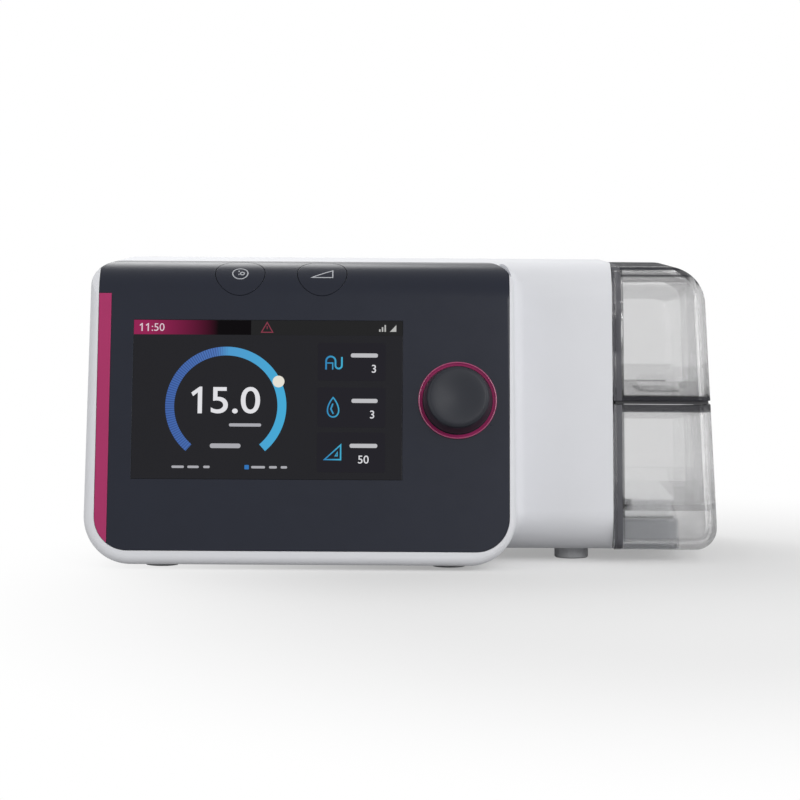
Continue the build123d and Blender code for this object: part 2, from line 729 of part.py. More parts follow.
def flap_axis_z(low):
    """Height of a rear flap's hinge axis above the lower edge of its opening."""
    return low + FLAP_GAP + FLAP_THICKNESS / 2


def rear_flap(left, right, low, high, slots=0):
    """Flap flush in the rear wall, round along its lower edge, with a pin stub at each end."""
    axis_z = flap_axis_z(low)
    with BuildPart() as flap:
        with BuildSketch(Plane.YZ.offset(left + FLAP_GAP)):
            with Locations((FLAP_Y, axis_z)):
                Circle(FLAP_THICKNESS / 2)
            with Locations((FLAP_Y, (axis_z + high - FLAP_GAP) / 2)):
                Rectangle(FLAP_THICKNESS, high - FLAP_GAP - axis_z)
        extrude(amount=right - left - 2 * FLAP_GAP)
        with BuildSketch(Plane.YZ.offset(left - FLAP_PIN_LENGTH)):
            with Locations((FLAP_Y, axis_z)):
                Circle(FLAP_PIN)
        extrude(amount=right - left + 2 * FLAP_PIN_LENGTH)
        if slots:
            pitch = (high - low - SLOT_FIELD) / slots
            with BuildSketch(Plane.XZ.offset(-REAR)):
                with Locations(((left + right) / 2, (low + high) / 2 + SLOT_RISE)):
                    with GridLocations(0, pitch, 1, slots):
                        SlotOverall(right - left - SLOT_SIDES, pitch * SLOT_SHARE)
            extrude(amount=FLAP_THICKNESS, mode=Mode.SUBTRACT)
    return flap.part


# ---------------------------------------------------------------- casing
CONTROL_BOARD_HEIGHT = DISPLAY_HEIGHT - CONTROL_BOARD_SHORTER
CONTROL_BOARD_UP = DISPLAY_UP - CONTROL_BOARD_DROP
CONTROL_BOARD_LEFT = X_LEFT + WALL + SIDE_DRAFT + CONTROL_BOARD_LEFT_GAP
CONTROL_BOARD_RIGHT = X_STEP - WALL - SIDE_DRAFT - CONTROL_BOARD_RIGHT_GAP
CONTROL_SCREWS = [
    (x, CONTROL_BOARD_UP + j * (CONTROL_BOARD_HEIGHT / 2 - CONTROL_SCREW_END))
    for x in (CONTROL_BOARD_LEFT + CONTROL_SCREW_LEFT, CONTROL_BOARD_RIGHT - CONTROL_SCREW_RIGHT)
    for j in (-1, 1)
]
LCD_WIDTH = DISPLAY_WIDTH + 2 * LCD_SIDE
LCD_HEIGHT = DISPLAY_HEIGHT + LCD_TOP + LCD_BOTTOM
LCD_UP = DISPLAY_UP + (LCD_TOP - LCD_BOTTOM) / 2
LCD_FRONT = PANEL_POCKET + GLUE
LCD_BACK = LCD_FRONT + LCD_THICKNESS
WELL_RADIUS = BUTTON_RADIUS + BUTTON_CLEARANCE
PLATFORM_SCREWS = [
    (PLATFORM_Y0 + PLATFORM_SCREW_INSET, PLATFORM_SCREW_Z),
    (PLATFORM_Y1 - PLATFORM_SCREW_INSET, PLATFORM_SCREW_Z),
]
HEATER_LEAD_Y = BLOWER_Y - HEATER_LEAD_SHIFT
MOTOR_LEAD_Y = HEATER_LEAD_Y - LEAD_PITCH

with BuildPart() as casing_shell:
    add(pod_outer)
    add(humidifier_outer)
    add(pod_inner, mode=Mode.SUBTRACT)
    add(humidifier_inner, mode=Mode.SUBTRACT)
    # Roof of the pod behind the panel, hollowed out to the plain wall
    roof_front = ARC_Y + PANEL_LAP + WALL
    roof_left = X_LEFT + TOP_CORNER + SIDE_DRAFT
    roof_right = X_STEP - TOP_CORNER - SIDE_DRAFT
    with BuildSketch(Plane.XY.offset(HEIGHT - WALL)):
        with BuildLine():
            Polyline(
                (roof_left, roof_front), (roof_right, roof_front), (roof_right, REAR - REAR_ROUND),
                (roof_left, REAR - REAR_ROUND), close=True,
            )
        make_face()
    extrude(amount=-(FRONT_SKIN - WALL + 2 * OVERCUT), mode=Mode.SUBTRACT)
    add(panel_recess, mode=Mode.SUBTRACT)
    # Opening for the display module
    with BuildSketch(panel_plane(DISPLAY_CENTRE, LCD_UP)):
        Rectangle(LCD_WIDTH + 2 * LCD_CLEARANCE, LCD_HEIGHT + 2 * LCD_CLEARANCE)
    extrude(amount=-(FRONT_SKIN + OVERCUT), mode=Mode.SUBTRACT)
    # Encoder bushing
    with BuildSketch(panel_plane(KNOB_X, KNOB_UP)):
        Circle(BUSHING_RADIUS + BUSHING_CLEARANCE)
    extrude(amount=-(FRONT_SKIN + OVERCUT), mode=Mode.SUBTRACT)
    # Button wells
    for x in (POWER_X, RAMP_X):
        with BuildSketch(button_plane(x, TOP_ROUND + OVERCUT)):
            Circle(WELL_RADIUS)
        extrude(amount=WELL_FLOOR - TOP_ROUND - OVERCUT, mode=Mode.SUBTRACT)
    # Bosses of the control board, from inside the front wall
    for x, up in CONTROL_SCREWS:
        with BuildSketch(panel_plane(x, up, CONTROL_BOARD_DEPTH)):
            Circle(CONTROL_BOSS_RADIUS)
        extrude(amount=CONTROL_BOARD_DEPTH - FRONT_SKIN + BOSS_ROOT)
        with BuildSketch(panel_plane(x, up, CONTROL_BOARD_DEPTH)):
            Circle(SCREW_RADIUS + SCREW_CLEARANCE)
        extrude(amount=CONTROL_BOARD_DEPTH - FRONT_SKIN + BOSS_ROOT, mode=Mode.SUBTRACT)
    # Opening and ledge of the base plate
    with BuildSketch(Plane.XY.offset(POD_BASE - OVERCUT)):
        with Locations((BASE_X, BASE_Y)):
            RectangleRounded(BASE_LENGTH, BASE_WIDTH, BASE_CORNER)
    extrude(amount=LEDGE + OVERCUT, mode=Mode.SUBTRACT)
    with BuildSketch(Plane.XY.offset(POD_BASE)):
        with Locations((BASE_X, BASE_Y)):
            RectangleRounded(BASE_LENGTH - 2 * LEDGE_WIDTH, BASE_WIDTH - 2 * LEDGE_WIDTH, BASE_CORNER / 2)
    extrude(amount=WALL + OVERCUT, mode=Mode.SUBTRACT)
    with BuildSketch(Plane.XY.offset(POD_BASE + LEDGE)):
        with Locations(*SCREW_PLACES):
            Circle(BOSS_RADIUS)
    extrude(amount=BOSS_HEIGHT)
    with BuildSketch(Plane.XY.offset(POD_BASE + LEDGE)):
        with Locations(*SCREW_PLACES):
            Circle(SCREW_RADIUS + SCREW_CLEARANCE)
    extrude(amount=LONG_SCREW - LEDGE + SCREW_CLEARANCE, mode=Mode.SUBTRACT)
    # Seats of the feet
    for places, level in ((FRONT_FEET, POD_BASE), (HUMIDIFIER_FEET, HUMIDIFIER_BASE)):
        with BuildSketch(Plane.XY.offset(level)):
            with Locations(*places):
                Circle(FOOT_RADIUS / 2 + SCREW_CLEARANCE)
        extrude(amount=FOOT_STUB + SCREW_CLEARANCE, mode=Mode.SUBTRACT)
    # Rear wall: openings of the flaps with their pin holes, power jack, outlet seat
    for left, right, low, high in FLAPS:
        with BuildSketch(Plane.XZ.offset(-REAR)):
            with Locations(((left + right) / 2, (low + high) / 2)):
                Rectangle(right - left, high - low)
        extrude(amount=WALL, mode=Mode.SUBTRACT)
        with BuildSketch(Plane.YZ.offset(left - FLAP_PIN_LENGTH - FLAP_GAP)):
            with Locations((FLAP_Y, flap_axis_z(low))):
                Circle(FLAP_PIN + SHAFT_RUNNING)
        extrude(amount=right - left + 2 * (FLAP_PIN_LENGTH + FLAP_GAP), mode=Mode.SUBTRACT)
    with BuildSketch(Plane.XZ.offset(-REAR)):
        with Locations((JACK_X, JACK_Z)):
            Circle(JACK_BORE + JACK_COLLAR)
        with Locations((ELBOW_X, ELBOW_UP)):
            Circle(SEAT_RADIUS + PLATE_GAP)
    extrude(amount=WALL, mode=Mode.SUBTRACT)
    # Docking wall: air ports with their seal recesses, screws and lead of the platform
    for y in (FRONT_PORT_Y, REAR_PORT_Y):
        with BuildSketch(Plane.YZ.offset(X_DOCK)):
            with Locations((y, PORT_HEIGHT)):
                Circle(DOCK_BORE)
        extrude(amount=-WALL, mode=Mode.SUBTRACT)
        with BuildSketch(Plane.YZ.offset(X_DOCK)):
            with Locations((y, PORT_HEIGHT)):
                Circle(DOCK_BORE + SEAL_WIDTH + SCREW_CLEARANCE)
        extrude(amount=-SEAL_DEPTH, mode=Mode.SUBTRACT)
    with BuildSketch(Plane.YZ.offset(X_DOCK)):
        with Locations(*PLATFORM_SCREWS):
            Circle(SCREW_RADIUS + SCREW_CLEARANCE)
        with Locations((HEATER_LEAD_Y, PLATFORM_SCREW_Z)):
            Rectangle(LEAD_WIDTH + 2 * LEAD_CLEARANCE, LEAD_SLOT)
    extrude(amount=-WALL, mode=Mode.SUBTRACT)

base_screw_seats = [
    Plane(origin=(x, y, POD_BASE), x_dir=(1, 0, 0), z_dir=(0, 0, -1)) for x, y in SCREW_PLACES
]
platform_screw_seats = [
    Plane(origin=(X_DOCK - WALL, y, z), x_dir=(0, 1, 0), z_dir=(-1, 0, 0)) for y, z in PLATFORM_SCREWS
]
long_screws = screw_group(base_screw_seats + platform_screw_seats, LONG_SCREW)

# ---------------------------------------------------------------- front panel and display
panel_sheet = panel_form(PANEL_CLEARANCE, PANEL_THICKNESS)
STRIPE_RIGHT = PANEL_LEFT + STRIPE_WIDTH
stripe_groove = panel_form(
    PANEL_CLEARANCE, STRIPE_THICKNESS, right=STRIPE_RIGHT + PANEL_CLEARANCE, top=STRIPE_TOP
)
accent_stripe = panel_form(
    PANEL_CLEARANCE, STRIPE_THICKNESS - GLUE / 2, right=STRIPE_RIGHT, top=STRIPE_TOP - PANEL_CLEARANCE / 2
)

with BuildPart() as front_panel:
    add(panel_sheet)
    add(stripe_groove, mode=Mode.SUBTRACT)
    with BuildSketch(panel_plane(DISPLAY_CENTRE, DISPLAY_UP)):
        Rectangle(DISPLAY_WIDTH, DISPLAY_HEIGHT)
    extrude(amount=-FRONT_SKIN, mode=Mode.SUBTRACT)
    with BuildSketch(panel_plane(KNOB_X, KNOB_UP)):
        Circle(BUSHING_RADIUS + BUSHING_CLEARANCE)
    extrude(amount=-FRONT_SKIN, mode=Mode.SUBTRACT)
    for x in (POWER_X, RAMP_X):
        with BuildSketch(button_plane(x, TOP_ROUND + OVERCUT)):
            Circle(WELL_RADIUS)
        extrude(amount=WELL_FLOOR - TOP_ROUND - OVERCUT, mode=Mode.SUBTRACT)

with BuildPart() as display_window:
    with BuildSketch(panel_plane(DISPLAY_CENTRE, DISPLAY_UP)):
        Rectangle(DISPLAY_WIDTH - 2 * GLUE, DISPLAY_HEIGHT - 2 * GLUE)
    extrude(amount=-PANEL_THICKNESS)

with BuildPart() as lcd_module:
    with BuildSketch(panel_plane(DISPLAY_CENTRE, LCD_UP, LCD_FRONT)):
        Rectangle(LCD_WIDTH, LCD_HEIGHT)
    extrude(amount=-LCD_THICKNESS)
    with BuildSketch(panel_plane(DISPLAY_CENTRE, LCD_UP, LCD_FRONT)):
        with Locations((0, (LCD_BOTTOM - LCD_TOP) / 2)):
            Rectangle(DISPLAY_WIDTH, DISPLAY_HEIGHT)
    extrude(amount=-LCD_RECESS, mode=Mode.SUBTRACT)

BRACKET_WIDTH = LCD_WIDTH + 2 * (BRACKET_CLEARANCE + BRACKET_FLANGE)
BRACKET_HEIGHT = LCD_HEIGHT + 2 * (BRACKET_CLEARANCE + BRACKET_FLANGE)

with BuildPart() as lcd_bracket:
    with BuildSketch(panel_plane(DISPLAY_CENTRE, LCD_UP, FRONT_SKIN)):
        Rectangle(BRACKET_WIDTH, BRACKET_HEIGHT)
        Rectangle(
            LCD_WIDTH + 2 * BRACKET_CLEARANCE, LCD_HEIGHT + 2 * BRACKET_CLEARANCE, mode=Mode.SUBTRACT
        )
    extrude(amount=-(LCD_BACK - FRONT_SKIN))
    with BuildSketch(panel_plane(DISPLAY_CENTRE, LCD_UP, LCD_BACK)):
        Rectangle(BRACKET_WIDTH, BRACKET_HEIGHT)
        Rectangle(LCD_WIDTH - 2 * BRACKET_LIP, LCD_HEIGHT - 2 * BRACKET_LIP, mode=Mode.SUBTRACT)
    extrude(amount=-BRACKET_SHEET)

with BuildPart() as control_board:
    board_centre = (CONTROL_BOARD_LEFT + CONTROL_BOARD_RIGHT) / 2
    with BuildSketch(panel_plane(board_centre, CONTROL_BOARD_UP, CONTROL_BOARD_DEPTH)):
        Rectangle(CONTROL_BOARD_RIGHT - CONTROL_BOARD_LEFT, CONTROL_BOARD_HEIGHT)
        with Locations(*[(x - board_centre, up - CONTROL_BOARD_UP) for x, up in CONTROL_SCREWS]):
            Circle(SCREW_RADIUS + SCREW_CLEARANCE, mode=Mode.SUBTRACT)
    extrude(amount=-PCB)

control_screw_seats = [
    Plane(
        origin=panel_plane(x, up, CONTROL_BOARD_DEPTH + PCB).origin,
        x_dir=(1, 0, 0),
        z_dir=(0, LEAN_COS, -LEAN_SIN),
    )
    for x, up in CONTROL_SCREWS
]

# ---------------------------------------------------------------- knob and encoder
KNOB_GAP = KNOB_PRESS + KNOB_STOP_GAP
ENCODER_FRONT = FRONT_SKIN + GLUE
CAVITY_FRONT = ENCODER_FRONT + ENCODER_WALL
CAVITY_BACK = CONTROL_BOARD_DEPTH - ENCODER_FLOOR
SHAFT_END = CAVITY_FRONT + SHAFT_REACH
PLUNGER_FRONT = SHAFT_END + SHAFT_RUNNING
KNOB_HOLLOW = KNOB_HEIGHT - KNOB_GAP - KNOB_FACE

with BuildPart() as encoder_body:
    with BuildSketch(panel_plane(KNOB_X, KNOB_UP, ENCODER_FRONT)):
        Rectangle(ENCODER_SIZE, ENCODER_SIZE)
    extrude(amount=-(CONTROL_BOARD_DEPTH - ENCODER_FRONT))
    with BuildSketch(panel_plane(KNOB_X, KNOB_UP, BUSHING_DEPTH)):
        Circle(BUSHING_RADIUS)
    extrude(amount=-(ENCODER_FRONT - BUSHING_DEPTH))
    with BuildSketch(panel_plane(KNOB_X, KNOB_UP, BUSHING_DEPTH)):
        Circle(SHAFT_RADIUS + SHAFT_RUNNING)
    extrude(amount=-(CAVITY_BACK - BUSHING_DEPTH), mode=Mode.SUBTRACT)
    with BuildSketch(panel_plane(KNOB_X, KNOB_UP, CAVITY_FRONT)):
        Circle(PLUNGER_RADIUS + SHAFT_RUNNING)
    extrude(amount=-(CAVITY_BACK - CAVITY_FRONT), mode=Mode.SUBTRACT)

with BuildPart() as encoder_plunger:
    with BuildSketch(panel_plane(KNOB_X, KNOB_UP, PLUNGER_FRONT)):
        Circle(PLUNGER_RADIUS)
    extrude(amount=-PLUNGER_THICKNESS)

with BuildPart() as encoder_shaft:
    with BuildSketch(panel_plane(KNOB_X, KNOB_UP, SHAFT_END)):
        Circle(SHAFT_RADIUS)
    extrude(amount=SHAFT_END + KNOB_HEIGHT - KNOB_FACE)

with BuildPart() as knob_ring:
    ring_inner = KNOB_RADIUS + RING_CLEARANCE
    with BuildSketch(panel_plane(KNOB_X, KNOB_UP)):
        Circle(ring_inner + RING_WIDTH)
        Circle(ring_inner, mode=Mode.SUBTRACT)
    extrude(amount=RING_HEIGHT)
    chamfer(edges().group_by(Axis.Y)[0], length=RING_CHAMFER)

with BuildPart() as knob_cap:
    with BuildSketch(panel_plane(KNOB_X, KNOB_UP, -KNOB_GAP)):
        Circle(KNOB_RADIUS)
    with BuildSketch(panel_plane(KNOB_X, KNOB_UP, -KNOB_HEIGHT)):
        Circle(KNOB_FACE_RADIUS)
    loft()
    fillet(edges().filter_by(GeomType.CIRCLE).sort_by(SortBy.RADIUS)[0], radius=KNOB_ROUND)
    with BuildSketch(panel_plane(KNOB_X, KNOB_UP, -KNOB_GAP)):
        Circle(KNOB_FACE_RADIUS - KNOB_WALL)
        Circle(SHAFT_RADIUS + KNOB_BOSS, mode=Mode.SUBTRACT)
    extrude(amount=KNOB_HOLLOW, mode=Mode.SUBTRACT)
    with BuildSketch(panel_plane(KNOB_X, KNOB_UP, -KNOB_GAP)):
        Circle(SHAFT_RADIUS + PRESS_FIT)
    extrude(amount=KNOB_HOLLOW + PRESS_FIT, mode=Mode.SUBTRACT)

# ---------------------------------------------------------------- buttons
BUTTON_UNDER = sqrt((TOP_ROUND - BUTTON_THICKNESS) ** 2 - BUTTON_RADIUS**2)
CARRIER_TOP = BUTTON_UNDER - BUTTON_PRESS - CARRIER_GAP
CARRIER_LOW = CARRIER_TOP - CARRIER_THICKNESS
SWITCH_TOP = BUTTON_BOARD_TOP + SWITCH_HEIGHT
STEM_END = SWITCH_TOP + BUTTON_PRESS + SWITCH_GAP
CARRIER_LEFT = POWER_X - WELL_RADIUS - CARRIER_END
CARRIER_RIGHT = RAMP_X + WELL_RADIUS + CARRIER_END
CARRIER_X = (CARRIER_LEFT + CARRIER_RIGHT) / 2
POST_PLACES = [
    CARRIER_LEFT + CARRIER_END / 2, (POWER_X + RAMP_X) / 2, CARRIER_RIGHT - CARRIER_END / 2,
]
POST_TOP = sqrt((TOP_ROUND - FRONT_SKIN) ** 2 - STEM_RADIUS**2) - GLUE
button_underside = side_prism(
    X_LEFT - OVERCUT, X_STEP + OVERCUT, BUTTON_THICKNESS / LEAN_COS, POD_BASE,
    HEIGHT - BUTTON_THICKNESS, REAR, TOP_ROUND - BUTTON_THICKNESS, REAR_ROUND,
)


def round_button(x):
    """Button cap that follows the top curve, with a stem down to its switch."""
    with BuildPart() as button:
        with BuildSketch(button_plane(x, BUTTON_UNDER - OVERCUT)):
            Circle(BUTTON_RADIUS)
        extrude(amount=TOP_ROUND - BUTTON_UNDER + 2 * OVERCUT)
        add(pod_outer, mode=Mode.INTERSECT)
        add(button_underside, mode=Mode.SUBTRACT)
        with BuildSketch(button_plane(x, STEM_END)):
            Circle(STEM_RADIUS)
        extrude(amount=TOP_ROUND - BUTTON_THICKNESS / 2 - STEM_END)
    return button.part


power_button = round_button(POWER_X)
ramp_button = round_button(RAMP_X)

with BuildPart() as button_carrier:
    with BuildSketch(button_plane(CARRIER_X, CARRIER_LOW)):
        Rectangle(CARRIER_RIGHT - CARRIER_LEFT, 2 * CARRIER_HALF)
        with Locations((POWER_X - CARRIER_X, 0), (RAMP_X - CARRIER_X, 0)):
            Circle(STEM_RADIUS + SHAFT_RUNNING, mode=Mode.SUBTRACT)
    extrude(amount=CARRIER_THICKNESS)
    for x in POST_PLACES:
        with BuildSketch(button_plane(x, BUTTON_BOARD_TOP)):
            Circle(STEM_RADIUS)
        extrude(amount=POST_TOP - BUTTON_BOARD_TOP)

with BuildPart() as button_board:
    with BuildSketch(button_plane(CARRIER_X, BUTTON_BOARD_TOP)):
        Rectangle(CARRIER_RIGHT - CARRIER_LEFT, 2 * CARRIER_HALF)
    extrude(amount=-PCB)

with BuildPart() as tact_switches:
    for x in (POWER_X, RAMP_X):
        with BuildSketch(button_plane(x, BUTTON_BOARD_TOP)):
            Rectangle(SWITCH_SIZE, SWITCH_SIZE)
        extrude(amount=SWITCH_HEIGHT - SWITCH_PLUNGER)
        with BuildSketch(button_plane(x, SWITCH_TOP - SWITCH_PLUNGER)):
            Circle(SWITCH_SIZE / 4)
        extrude(amount=SWITCH_PLUNGER)

# ---------------------------------------------------------------- main board
BOARD_X = (BOARD_LEFT + BOARD_RIGHT) / 2
BOARD_WIDTH = BOARD_RIGHT - BOARD_LEFT
DISPLAY_PLUG_Y = BOARD_FRONT + DISPLAY_PLUG_INSET
LEAD_PLUG_X = BOARD_RIGHT - PLUG_DEPTH / 2 - MARGIN
COMPONENTS = [
    # place as a share of the board's width from its left edge and of its length from its rear
    # edge, then length, width and height
    (0.43, 0.57, 14.0, 14.0, 1.6),
    (0.71, 0.635, 9.0, 9.0, 1.4),
    (0.34, 0.75, 16.0, 12.0, 12.0),
    (0.72, 0.44, 12.0, 12.0, 9.0),
    (0.72, 0.827, 8.0, 6.0, 2.5),
]
CAPACITORS = [(0.16, 0.577), (0.50, 0.442)]
CAPACITOR_RADIUS = 4.0
CAPACITOR_HEIGHT = 13.0

with BuildPart() as main_board:
    with BuildSketch(Plane.XY.offset(BOARD_HEIGHT)):
        with Locations((BOARD_X, (BOARD_FRONT + BOARD_REAR) / 2)):
            RectangleRounded(BOARD_WIDTH, BOARD_LENGTH, BOARD_CORNER)
        with Locations(*BOARD_PLACES):
            Circle(SCREW_RADIUS + SCREW_CLEARANCE, mode=Mode.SUBTRACT)
    extrude(amount=PCB)

board_screw_seats = [Plane.XY.offset(BOARD_TOP).move(Location((x, y, 0))) for x, y in BOARD_PLACES]

with BuildPart() as board_components:
    for across, back, length, width, height in COMPONENTS:
        with BuildSketch(Plane.XY.offset(BOARD_TOP)):
            with Locations((BOARD_LEFT + across * BOARD_WIDTH, BOARD_REAR - back * BOARD_LENGTH)):
                Rectangle(length, width)
        extrude(amount=height)
    for across, back in CAPACITORS:
        with BuildSketch(Plane.XY.offset(BOARD_TOP)):
            with Locations((BOARD_LEFT + across * BOARD_WIDTH, BOARD_REAR - back * BOARD_LENGTH)):
                Circle(CAPACITOR_RADIUS)
        extrude(amount=CAPACITOR_HEIGHT)
    with BuildSketch(Plane.XY.offset(BOARD_TOP)):
        with Locations((BOARD_X, DISPLAY_PLUG_Y)):
            Rectangle(PLUG_LENGTH, PLUG_DEPTH)
        with Locations((LEAD_PLUG_X, MOTOR_LEAD_Y), (LEAD_PLUG_X, HEATER_LEAD_Y)):
            Rectangle(PLUG_DEPTH, LEAD_WIDTH + 2 * MARGIN)
    extrude(amount=PLUG_HEIGHT)

with BuildPart() as dc_jack:
    jack_y = REAR_INNER - GLUE - JACK_DEPTH / 2
    with BuildSketch(Plane.XY.offset(BOARD_TOP)):
        with Locations((JACK_X, jack_y)):
            Rectangle(JACK_WIDTH, JACK_DEPTH)
    extrude(amount=JACK_HEIGHT)
    with BuildSketch(Plane.XZ.offset(-(REAR_INNER - GLUE))):
        with Locations((JACK_X, JACK_Z)):
            Circle(JACK_BORE)
            Circle(JACK_PIN, mode=Mode.SUBTRACT)
    extrude(amount=JACK_DEPTH - JACK_BACK, mode=Mode.SUBTRACT)

CARD_REAR = REAR_INNER - CARD_TO_WALL
CARD_Y = CARD_REAR - CARD_LENGTH / 2
SOCKET_WIDTH = CARD_WIDTH + 2 * CARD_CLEARANCE
SOCKET_SLOT = CARD_THICKNESS + 2 * CARD_CLEARANCE

with BuildPart() as card_socket:
    with BuildSketch(Plane.XY.offset(BOARD_TOP)):
        with Locations((CARD_X, CARD_Y - CARD_PROUD)):
            Rectangle(SOCKET_WIDTH + 2 * SOCKET_WALL, CARD_LENGTH)
    extrude(amount=SOCKET_SLOT + 2 * SOCKET_WALL)
    with BuildSketch(Plane.XY.offset(BOARD_TOP + SOCKET_WALL)):
        with Locations((CARD_X, CARD_Y - CARD_PROUD + SOCKET_WALL)):
            Rectangle(SOCKET_WIDTH, CARD_LENGTH)
    extrude(amount=SOCKET_SLOT, mode=Mode.SUBTRACT)

with BuildPart() as memory_card:
    with BuildSketch(Plane.XY.offset(BOARD_TOP + SOCKET_WALL + CARD_CLEARANCE)) as card_outline:
        with Locations((CARD_X, CARD_Y)):
            Rectangle(CARD_WIDTH, CARD_LENGTH)
        card_corner = corner_near(card_outline, CARD_X + CARD_WIDTH / 2, CARD_REAR - CARD_LENGTH)
        chamfer(card_corner, length=CARD_CHAMFER)
    extrude(amount=CARD_THICKNESS)

filter_cover = rear_flap(*FLAPS[0], slots=SLOT_COUNT)
card_door = rear_flap(*FLAPS[1])

# ---------------------------------------------------------------- air inlet
BOX_FRONT = REAR_INNER - BOX_LENGTH
INLET_Z = BOX_TOP - TUBE_RADIUS - INLET_DROP
FILTER_REAR = REAR - FLAP_THICKNESS - SOFT_GAP
FOAM_REAR = FILTER_REAR - FILTER_THICKNESS - SOFT_GAP

with BuildPart() as inlet_box:
    with BuildSketch(Plane.XZ.offset(-REAR_INNER)):
        with Locations(((BOX_LEFT + BOX_RIGHT) / 2, (BOX_BOTTOM + BOX_TOP) / 2)):
            Rectangle(BOX_RIGHT - BOX_LEFT, BOX_TOP - BOX_BOTTOM)
    extrude(amount=BOX_LENGTH)
    with BuildSketch(Plane.XZ.offset(-REAR_INNER)):
        with Locations(((BOX_LEFT + BOX_RIGHT) / 2, (BOX_BOTTOM + BOX_TOP) / 2)):
            Rectangle(BOX_RIGHT - BOX_LEFT - 2 * BOX_WALL, BOX_TOP - BOX_BOTTOM - 2 * BOX_WALL)
    extrude(amount=BOX_LENGTH - BOX_WALL, mode=Mode.SUBTRACT)
    with BuildSketch(Plane.YZ.offset(BOX_RIGHT)):
        with Locations((BLOWER_Y, INLET_Z)):
            Circle(TUBE_RADIUS - TUBE_WALL)
    extrude(amount=-BOX_WALL, mode=Mode.SUBTRACT)

inside_left = BOX_LEFT + BOX_WALL + SOFT_GAP
inside_right = BOX_RIGHT - BOX_WALL - SOFT_GAP
inside_low = BOX_BOTTOM + BOX_WALL + SOFT_GAP
inside_high = BOX_TOP - BOX_WALL - SOFT_GAP

with BuildPart() as air_filter:
    with BuildSketch(Plane.XZ.offset(-FILTER_REAR)):
        with Locations(((inside_left + inside_right) / 2, (inside_low + inside_high) / 2)):
            RectangleRounded(inside_right - inside_left, inside_high - inside_low, FILTER_CORNER)
    extrude(amount=FILTER_THICKNESS)

with BuildPart() as muffler_foam:
    foam_length = FOAM_REAR - BOX_FRONT - BOX_WALL - SOFT_GAP
    foam_bore = TUBE_RADIUS - TUBE_WALL - FOAM_COVER
    with BuildSketch(Plane.XZ.offset(-FOAM_REAR)):
        with Locations(((inside_left + inside_right) / 2, (inside_low + inside_high) / 2)):
            Rectangle(inside_right - inside_left, inside_high - inside_low)
    extrude(amount=foam_length)
    with BuildSketch(Plane.XZ.offset(-FOAM_REAR)):
        with Locations(((inside_left + inside_right) / 2, INLET_Z)):
            Rectangle((inside_right - inside_left) / 2, 2 * foam_bore)
    extrude(amount=foam_length - FOAM_END, mode=Mode.SUBTRACT)
    with BuildSketch(Plane.YZ.offset(inside_right)):
        with Locations((BLOWER_Y, INLET_Z)):
            Circle(foam_bore)
    extrude(amount=-(inside_right - inside_left) / 2, mode=Mode.SUBTRACT)

# ---------------------------------------------------------------- blower
LUG_SPREAD = BLOWER_RADIUS + LUG_RADIUS - MARGIN
LUG_PLACES = [
    (BLOWER_X + LUG_SPREAD * cos(radians(a)), BLOWER_Y + LUG_SPREAD * sin(radians(a))) for a in LUG_ANGLES
]
BLOWER_FLOOR = BLOWER_BASE + BLOWER_WALL
STATOR_BASE = BLOWER_FLOOR + STATOR_LIFT
STATOR_TOP = STATOR_BASE + STATOR_HEIGHT
CAP_TOP = STATOR_TOP + CAP_SKIRT + BEARING_HEIGHT
IMPELLER_BASE = CAP_TOP + IMPELLER_GAP
NECK_TOP = BLOWER_TOP + NECK_HEIGHT

with BuildPart() as blower_housing_lower:
    with BuildSketch(Plane.XY.offset(BLOWER_BASE)):
        with Locations((BLOWER_X, BLOWER_Y)):
            Circle(BLOWER_RADIUS)
    extrude(amount=LOWER_HEIGHT)
    with BuildSketch(Plane.YZ.offset(BLOWER_X)):
        with Locations((FRONT_PORT_Y, OUTLET_Z)):
            Circle(TUBE_RADIUS)
    extrude(amount=OUTLET_END - BLOWER_X)
    with BuildSketch(Plane.XY.offset(BLOWER_SPLIT - LUG_THICKNESS)):
        with Locations(*LUG_PLACES):
            Circle(LUG_RADIUS)
    extrude(amount=LUG_THICKNESS)
    with BuildSketch(Plane.XY.offset(BLOWER_FLOOR)):
        with Locations((BLOWER_X, BLOWER_Y)):
            Circle(BLOWER_RADIUS - BLOWER_WALL)
    extrude(amount=LOWER_HEIGHT, mode=Mode.SUBTRACT)
    with BuildSketch(Plane.YZ.offset(BLOWER_X)):
        with Locations((FRONT_PORT_Y, OUTLET_Z)):
            Circle(TUBE_RADIUS - TUBE_WALL)
    extrude(amount=OUTLET_END - BLOWER_X, mode=Mode.SUBTRACT)
    with BuildSketch(Plane.XY.offset(BLOWER_SPLIT)):
        with Locations(*LUG_PLACES):
            Circle(SCREW_RADIUS + SCREW_CLEARANCE)
    extrude(amount=-LUG_THICKNESS, mode=Mode.SUBTRACT)
    # Seats of the lower bearing and of the stator
    with BuildSketch(Plane.XY.offset(BLOWER_FLOOR)):
        with Locations((BLOWER_X, BLOWER_Y)):
            Circle(BEARING_RADIUS + BEARING_SEAT)
            Circle(BEARING_RADIUS, mode=Mode.SUBTRACT)
    extrude(amount=BEARING_HEIGHT)
    with BuildSketch(Plane.XY.offset(BLOWER_FLOOR)):
        with Locations((BLOWER_X, BLOWER_Y)):
            Circle(STATOR_RADIUS)
            Circle(STATOR_RADIUS - STATOR_RING, mode=Mode.SUBTRACT)
    extrude(amount=STATOR_BASE - BLOWER_FLOOR)

